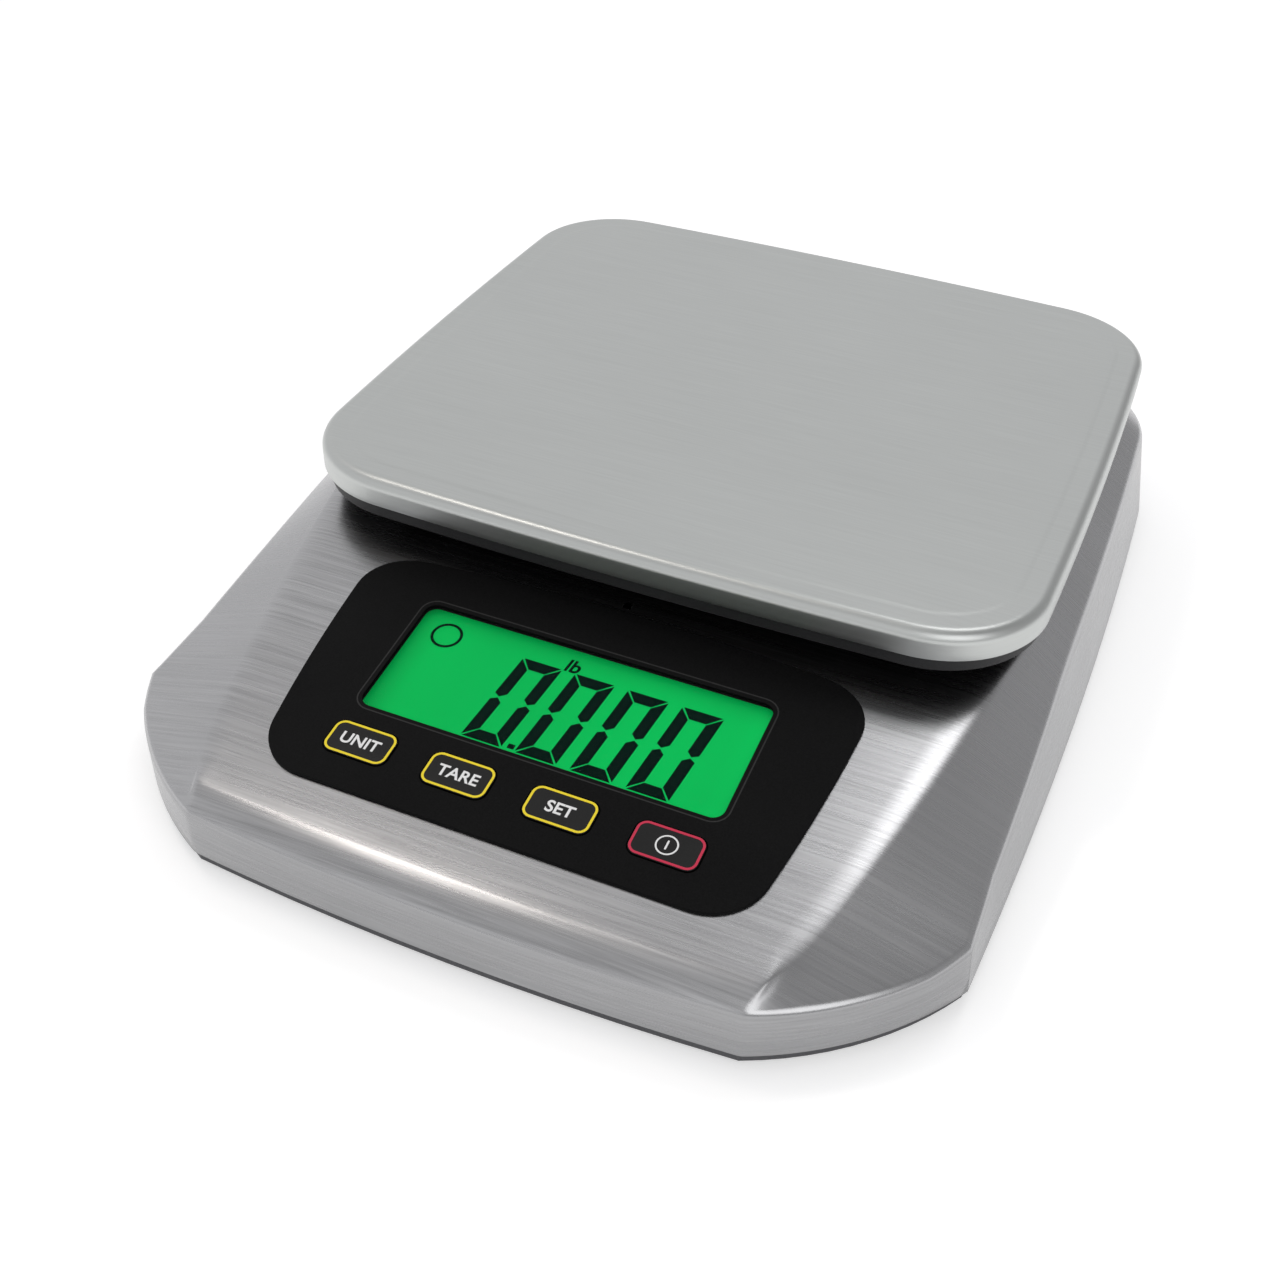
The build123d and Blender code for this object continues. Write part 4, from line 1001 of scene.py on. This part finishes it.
def make_text(name, words, x, along, height, z, body, material, slot, shear=0.0):
    """Raised printed lettering in the built-in face, centred on a point of the deck."""
    data = bpy.data.curves.new(name, "FONT")
    data.body = words
    data.size = height / CAPITAL_SHARE
    data.align_x = "CENTER"
    data.align_y = "CENTER"
    data.extrude = 0.02 * MM
    data.offset = LETTER_WEIGHT * height / LEGEND_HEIGHT
    data.shear = shear
    data.resolution_u = 6
    source = new_object(name, data)
    mesh = evaluated_mesh(source)
    bpy.data.objects.remove(source, do_unlink=True)
    across = [v.co.x for v in mesh.vertices]
    upward = [v.co.y for v in mesh.vertices]
    middle = ((min(across) + max(across)) / 2, (min(upward) + max(upward)) / 2)
    mesh.transform(DECK @ Matrix.Translation((x - middle[0], along - middle[1], z)))
    mesh.name = name
    dress(new_object(name, mesh), body, material)


# ---------------- liquid crystal display
DIGIT_TOP = 13.0 * MM
DIGIT_HEIGHT = 31.5 * MM
DIGIT_WIDTH = 12.2 * MM
DIGIT_PITCH = 16.2 * MM
DIGIT_LEFT = -22.9 * MM
DIGIT_LEAN = 0.105
SEGMENT = 3.5 * MM
SEGMENT_GAP = 0.4 * MM
POINT_SIZE = (2.0 * MM, 1.6 * MM)
POINT_PLACE = (-8.2 * MM, -17.2 * MM)
MARK_PLACE = (-44.0 * MM, 12.6 * MM)
MARK_RADII = (4.7 * MM, 3.85 * MM)
UNIT_PLACE = (-4.9 * MM, 15.2 * MM)
LCD_SINK = 0.35 * MM


def segment_shapes():
    """The six lit segments of a nought, as corner lists in a box one digit in size."""
    w, h, t, g = DIGIT_WIDTH, DIGIT_HEIGHT, SEGMENT, SEGMENT_GAP
    m = h / 2
    top = [(g, h), (w - g, h), (w - t - g * 0.3, h - t), (t + g * 0.3, h - t)]
    upper_left = [(0, h - g), (0, m + g + t * 0.25), (t * 0.5, m + g * 0.6), (t, m + t * 0.5), (t, h - t - g)]
    shapes = [top, upper_left]
    shapes.append([(w - x, y) for x, y in upper_left])
    shapes += [[(x, h - y) for x, y in shape] for shape in shapes[:3]]
    return shapes


def make_digits(material, surface):
    """Four slanted seven-segment noughts with a decimal point after the first."""
    outlines = []
    base = DIGIT_TOP - DIGIT_HEIGHT
    for index in range(4):
        left = DIGIT_LEFT + index * DIGIT_PITCH
        for shape in segment_shapes():
            outlines.append([Vector((left + x + y * DIGIT_LEAN, base + y)) for x, y in shape])
    outlines.append(rectangle(POINT_SIZE, 0.2 * MM, *POINT_PLACE))
    flat_curve("lcd_digits", outlines, surface, surface + LEAF, LEAF_EDGE, "housing", material)


def shade_panel(material):
    """Paint a recess shadow onto the glowing panel, darkening it to the left and above; the panel is also
    brightened to the right and below.
    """
    shader = material.node_tree.nodes["Principled BSDF"]
    where = add_node(material, "ShaderNodeTexCoord")
    place = add_node(material, "ShaderNodeSeparateXYZ")
    link(material, where.outputs["Object"], place.inputs[0])
    x, y = place.outputs["X"], place.outputs["Y"]
    right = WINDOW[0] / 2
    high = WINDOW_CENTRE.y + WINDOW[1] / 2
    low = WINDOW_CENTRE.y - WINDOW[1] / 2
    edges = (
        (x, -right, -right + 9 * MM, 0.5, 1.0),
        (y, high, high - 8 * MM, 0.5, 1.0),
        (y, low + 7 * MM, low, 1.0, 1.3),
        (x, right - 8 * MM, right, 1.0, 1.25),
    )
    shade = shader.inputs["Emission Strength"].default_value
    for edge in edges:
        shade = math_node(material, "MULTIPLY", smooth_step(material, *edge), shade)
    link(material, shade, shader.inputs["Emission Strength"])


def make_lcd(green, ink):
    """Backlit display: glowing panel, digits, unit letters and stable-reading ring."""
    # Painted recess shadow on the panel's glow, darker to the left and above.
    shade_panel(green)
    face = -SHEET - LCD_SINK
    size = (WINDOW[0] + 1.2 * MM, WINDOW[1] + 1.2 * MM)
    outline = [rectangle(size, 1 * MM)]
    panel = flat_curve(
        "lcd_panel", outline, face - 0.2 * MM, face, 0.02 * MM, "housing", green
    )
    # The panel glows to the eye only, so it leaves no green streak on the steel.
    panel.visible_glossy = False
    surface = face + 0.01 * MM
    make_digits(ink, surface)
    ring = [circle(radius, *MARK_PLACE) for radius in MARK_RADII]
    flat_curve("lcd_mark", ring, surface, surface + LEAF, LEAF_EDGE, "housing", ink)
    make_text(
        "lcd_unit", "lb", *UNIT_PLACE, 4.4 * MM, face + 0.04 * MM, "housing", ink, "lcd_green", 0.12
    )


# ---------------- load cell
CELL_FLEX = 21.0 * MM
CELL_SLICES = 16


def make_load_cell(material):
    """The load cell's beam, sliced across its middle into narrow bands."""
    node = frame["nodes"]["load_cell"]
    bm = bmesh.new()
    bm.from_mesh(node.data)
    bm.transform(node.matrix_world)
    bmesh.ops.remove_doubles(bm, verts=bm.verts[:], dist=WELD)
    for index in range(CELL_SLICES + 1):
        x = CELL_FLEX * (2 * index / CELL_SLICES - 1)
        parts = bm.verts[:] + bm.edges[:] + bm.faces[:]
        bmesh.ops.bisect_plane(bm, geom=parts, dist=0.1 * WELD, plane_co=(x, 0, 0), plane_no=(1, 0, 0))
    bmesh.ops.triangulate(bm, faces=[face for face in bm.faces if len(face.verts) > 4])
    mesh = bpy.data.meshes.new("load_cell_beam")
    bm.to_mesh(mesh)
    bm.free()
    mesh.materials.clear()
    mesh.materials.append(material)
    mesh.shade_smooth()
    mesh.set_sharp_from_angle(angle=math.radians(35))
    obj = new_object("load_cell_beam", mesh)
    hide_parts("load_cell")
    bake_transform(obj)


# ---------------- build
bpy.context.scene.view_settings.view_transform = "Standard"
make_camera()

# The housing's upright walls get painted shade in their colour.
STEEL_HOUSING = brushed_steel(
    "brushed_housing_steel", (0.505, 0.505, 0.515), 0.27, grain=0.85, painted_wall_shade=0.74
)
STEEL_PAN = brushed_steel("brushed_pan_steel", (0.555, 0.57, 0.56), 0.36, grain=0.2, cloud=0.03)
BLACK_PANEL = moulded_plastic("black_panel", (0.0035, 0.0035, 0.0037), 0.55, 2200.0, 0.00004, 0.6, 0.08)
BLACK_KEY = moulded_plastic("black_key", (0.004, 0.004, 0.004), 0.3, 3000.0, 0.00001, 0.3, 0.3)
YELLOW_LINE = moulded_plastic("yellow_line", (0.95, 0.74, 0.02), 0.5, 3000.0, 0.00001, 0.06)
RED_LINE = moulded_plastic("red_line", (0.62, 0.02, 0.07), 0.5, 3000.0, 0.00001, 0.06)
WHITE_INK = moulded_plastic("white_ink", (0.85, 0.85, 0.85), 0.5, 3000.0, 0.00001, 0.04)
LCD_INK = moulded_plastic("lcd_segment", (0.0008, 0.012, 0.008), 0.5, 3000.0, 0.00001, 0.3, 0.02)
LCD_GREEN = glowing("lcd_backlit_green", (0.0, 0.42, 0.078), 0.5)
CLEAR = clear_plastic("clear_window")

PLAIN = {
    "base_tray": moulded_plastic("tray_moulding", (0.055, 0.055, 0.06), 0.6, 1500.0, 0.00008, 0.2),
    "battery_door": moulded_plastic("door_moulding", (0.05, 0.05, 0.055), 0.55, 1500.0, 0.00008, 0.2),
    "platform_support": moulded_plastic("support_moulding", (0.012, 0.012, 0.013), 0.5, 1500.0, 0.00006, 0.2),
    "feet": moulded_plastic("foot_rubber", (0.015, 0.015, 0.015), 0.8, 900.0, 0.0001, 0.3),
    "support_pads": moulded_plastic("pad_rubber", (0.02, 0.02, 0.02), 0.8, 900.0, 0.0001, 0.3),
    "upper_bracket": brushed_steel("plated_bracket", (0.55, 0.56, 0.57), 0.38, grain=0.6),
    "cell_base": brushed_steel("plated_base", (0.55, 0.56, 0.57), 0.4, grain=0.6),
    "cell_spacer": brushed_steel("plated_spacer", (0.55, 0.56, 0.57), 0.4, grain=0.6),
    "load_cell": brushed_steel("milled_aluminium", (0.78, 0.79, 0.80), 0.3, grain=0.5),
    "lcd_frame": moulded_plastic("frame_moulding", (0.012, 0.012, 0.012), 0.5),
    "battery_box": moulded_plastic("box_moulding", (0.02, 0.02, 0.02), 0.55),
    "main_board": moulded_plastic("solder_mask", (0.01, 0.16, 0.05), 0.35, 700.0, 0.00003, 0.2),
    "key_board": moulded_plastic("key_solder_mask", (0.01, 0.16, 0.05), 0.35, 700.0, 0.00003, 0.2),
    "board_parts": moulded_plastic("chip_moulding", (0.02, 0.02, 0.02), 0.5),
    "board_pillars": moulded_plastic("nylon", (0.75, 0.74, 0.70), 0.5),
    "zebra_strips": moulded_plastic("zebra", (0.16, 0.16, 0.17), 0.6),
    "battery_cells": moulded_plastic("cell_sleeve", (0.03, 0.035, 0.05), 0.3),
    "battery_contacts": brushed_steel("nickel", (0.72, 0.72, 0.70), 0.25, grain=0.4),
    "load_cell_cable": moulded_plastic("cable_jacket", (0.02, 0.02, 0.02), 0.5),
    "lcd_backlight": glowing("light_guide", (0.3, 0.8, 0.4), 0.03),
    "lcd_glass": glowing("lcd_edge", (0.01, 0.05, 0.02), 0.03),
    "display_window": CLEAR,
    "shell_posts": brushed_steel("turned_steel", (0.6, 0.6, 0.6), 0.3, grain=0.5),
    "support_posts": brushed_steel("turned_post", (0.6, 0.6, 0.6), 0.3, grain=0.5),
    "key_switches": brushed_steel("switch_cover", (0.6, 0.6, 0.6), 0.35, grain=0.5),
}
ZINC = brushed_steel("zinc_screw", (0.62, 0.63, 0.66), 0.28, grain=0.4)
for name in ("base_screws", "platform_screws", "cell_screws_base", "cell_screws_live", "overload_stops"):
    PLAIN[name] = ZINC


def dress_cad_nodes():
    """Give every carried-over CAD node its procedural material."""
    for name, material in PLAIN.items():
        obj = frame["nodes"][name]
        for slot in obj.material_slots:
            slot.material = material


dress_cad_nodes()
make_housing(STEEL_HOUSING)
make_pan(STEEL_PAN)
make_overlay(BLACK_PANEL)
make_window_line(moulded_plastic("grey_line", (0.022, 0.022, 0.022), 0.5, shine=0.2))
for key in KEYS:
    line = RED_LINE if key == "key_power" else YELLOW_LINE
    make_key(key, BLACK_KEY, line, WHITE_INK)
make_lcd(LCD_GREEN, LCD_INK)
make_load_cell(PLAIN["load_cell"])


# ---------------- floor and light
SKY_LEVELS = ((0.0, 0.75), (0.35, 0.8), (0.6, 0.81), (0.75, 0.66), (0.9, 0.6), (1.0, 0.62))
SKY_RIGHT = 0.56


def make_stage():
    """A plain pale floor."""
    bpy.ops.mesh.primitive_plane_add(size=12, location=(0, 0, 0))
    floor = bpy.context.object
    floor.name = "floor"
    material, shader = new_material("floor_white")
    shader.inputs["Base Color"].default_value = (0.9, 0.9, 0.9, 1)
    shader.inputs["Emission Color"].default_value = (1, 1, 1, 1)
    shader.inputs["Emission Strength"].default_value = 0.4
    shader.inputs["Roughness"].default_value = 0.9
    shader.inputs["Specular IOR Level"].default_value = 0.1
    floor.data.materials.append(material)


def add_light(name, place, aim, size, energy, colour=(1, 1, 1)):
    """A soft rectangular lamp at a place, aimed at a point."""
    data = bpy.data.lights.new(name, "AREA")
    data.shape = "RECTANGLE"
    data.size, data.size_y = size
    data.energy = energy
    data.color = colour
    lamp = new_object(name, data)
    lamp.location = place
    lamp.rotation_euler = (Vector(aim) - Vector(place)).to_track_quat("-Z", "Y").to_euler()


def make_sky():
    """Studio surroundings that change in brightness with height, and darken to the right."""
    world = bpy.data.worlds.new("studio")
    bpy.context.scene.world = world
    world.use_nodes = True
    background = world.node_tree.nodes["Background"]
    where = add_node(world, "ShaderNodeTexCoord")
    parts = add_node(world, "ShaderNodeSeparateXYZ")
    link(world, where.outputs["Generated"], parts.inputs[0])
    shades = add_node(world, "ShaderNodeValToRGB")
    stops = shades.color_ramp.elements
    for _ in range(len(SKY_LEVELS) - 2):
        stops.new(0.5)
    for stop, (position, value) in zip(stops, SKY_LEVELS):
        stop.position = position
        stop.color = (value, value, value * 1.01, 1)
    link(world, parts.outputs["Z"], shades.inputs["Fac"])
    link(world, shades.outputs["Color"], background.inputs["Color"])
    side = smooth_step(world, parts.outputs["X"], 0.0, 0.4, 1.0, SKY_RIGHT)
    link(world, side, background.inputs["Strength"])


make_stage()
make_sky()
add_light("ridge_glow", (-0.41, -0.02, 0.92), (-0.045, -0.15, 0.03), (0.22, 0.08), 0.7, (1, 0.93, 0.86))
add_light("crease_glow", (0.15, 0.4, 0.94), (0.08, -0.1, 0.03), (0.28, 0.28), 0.85)
add_light("front_right_key", (0.85, -0.9, 0.9), (0, 0, 0), (1.0, 1.0), 4.5)
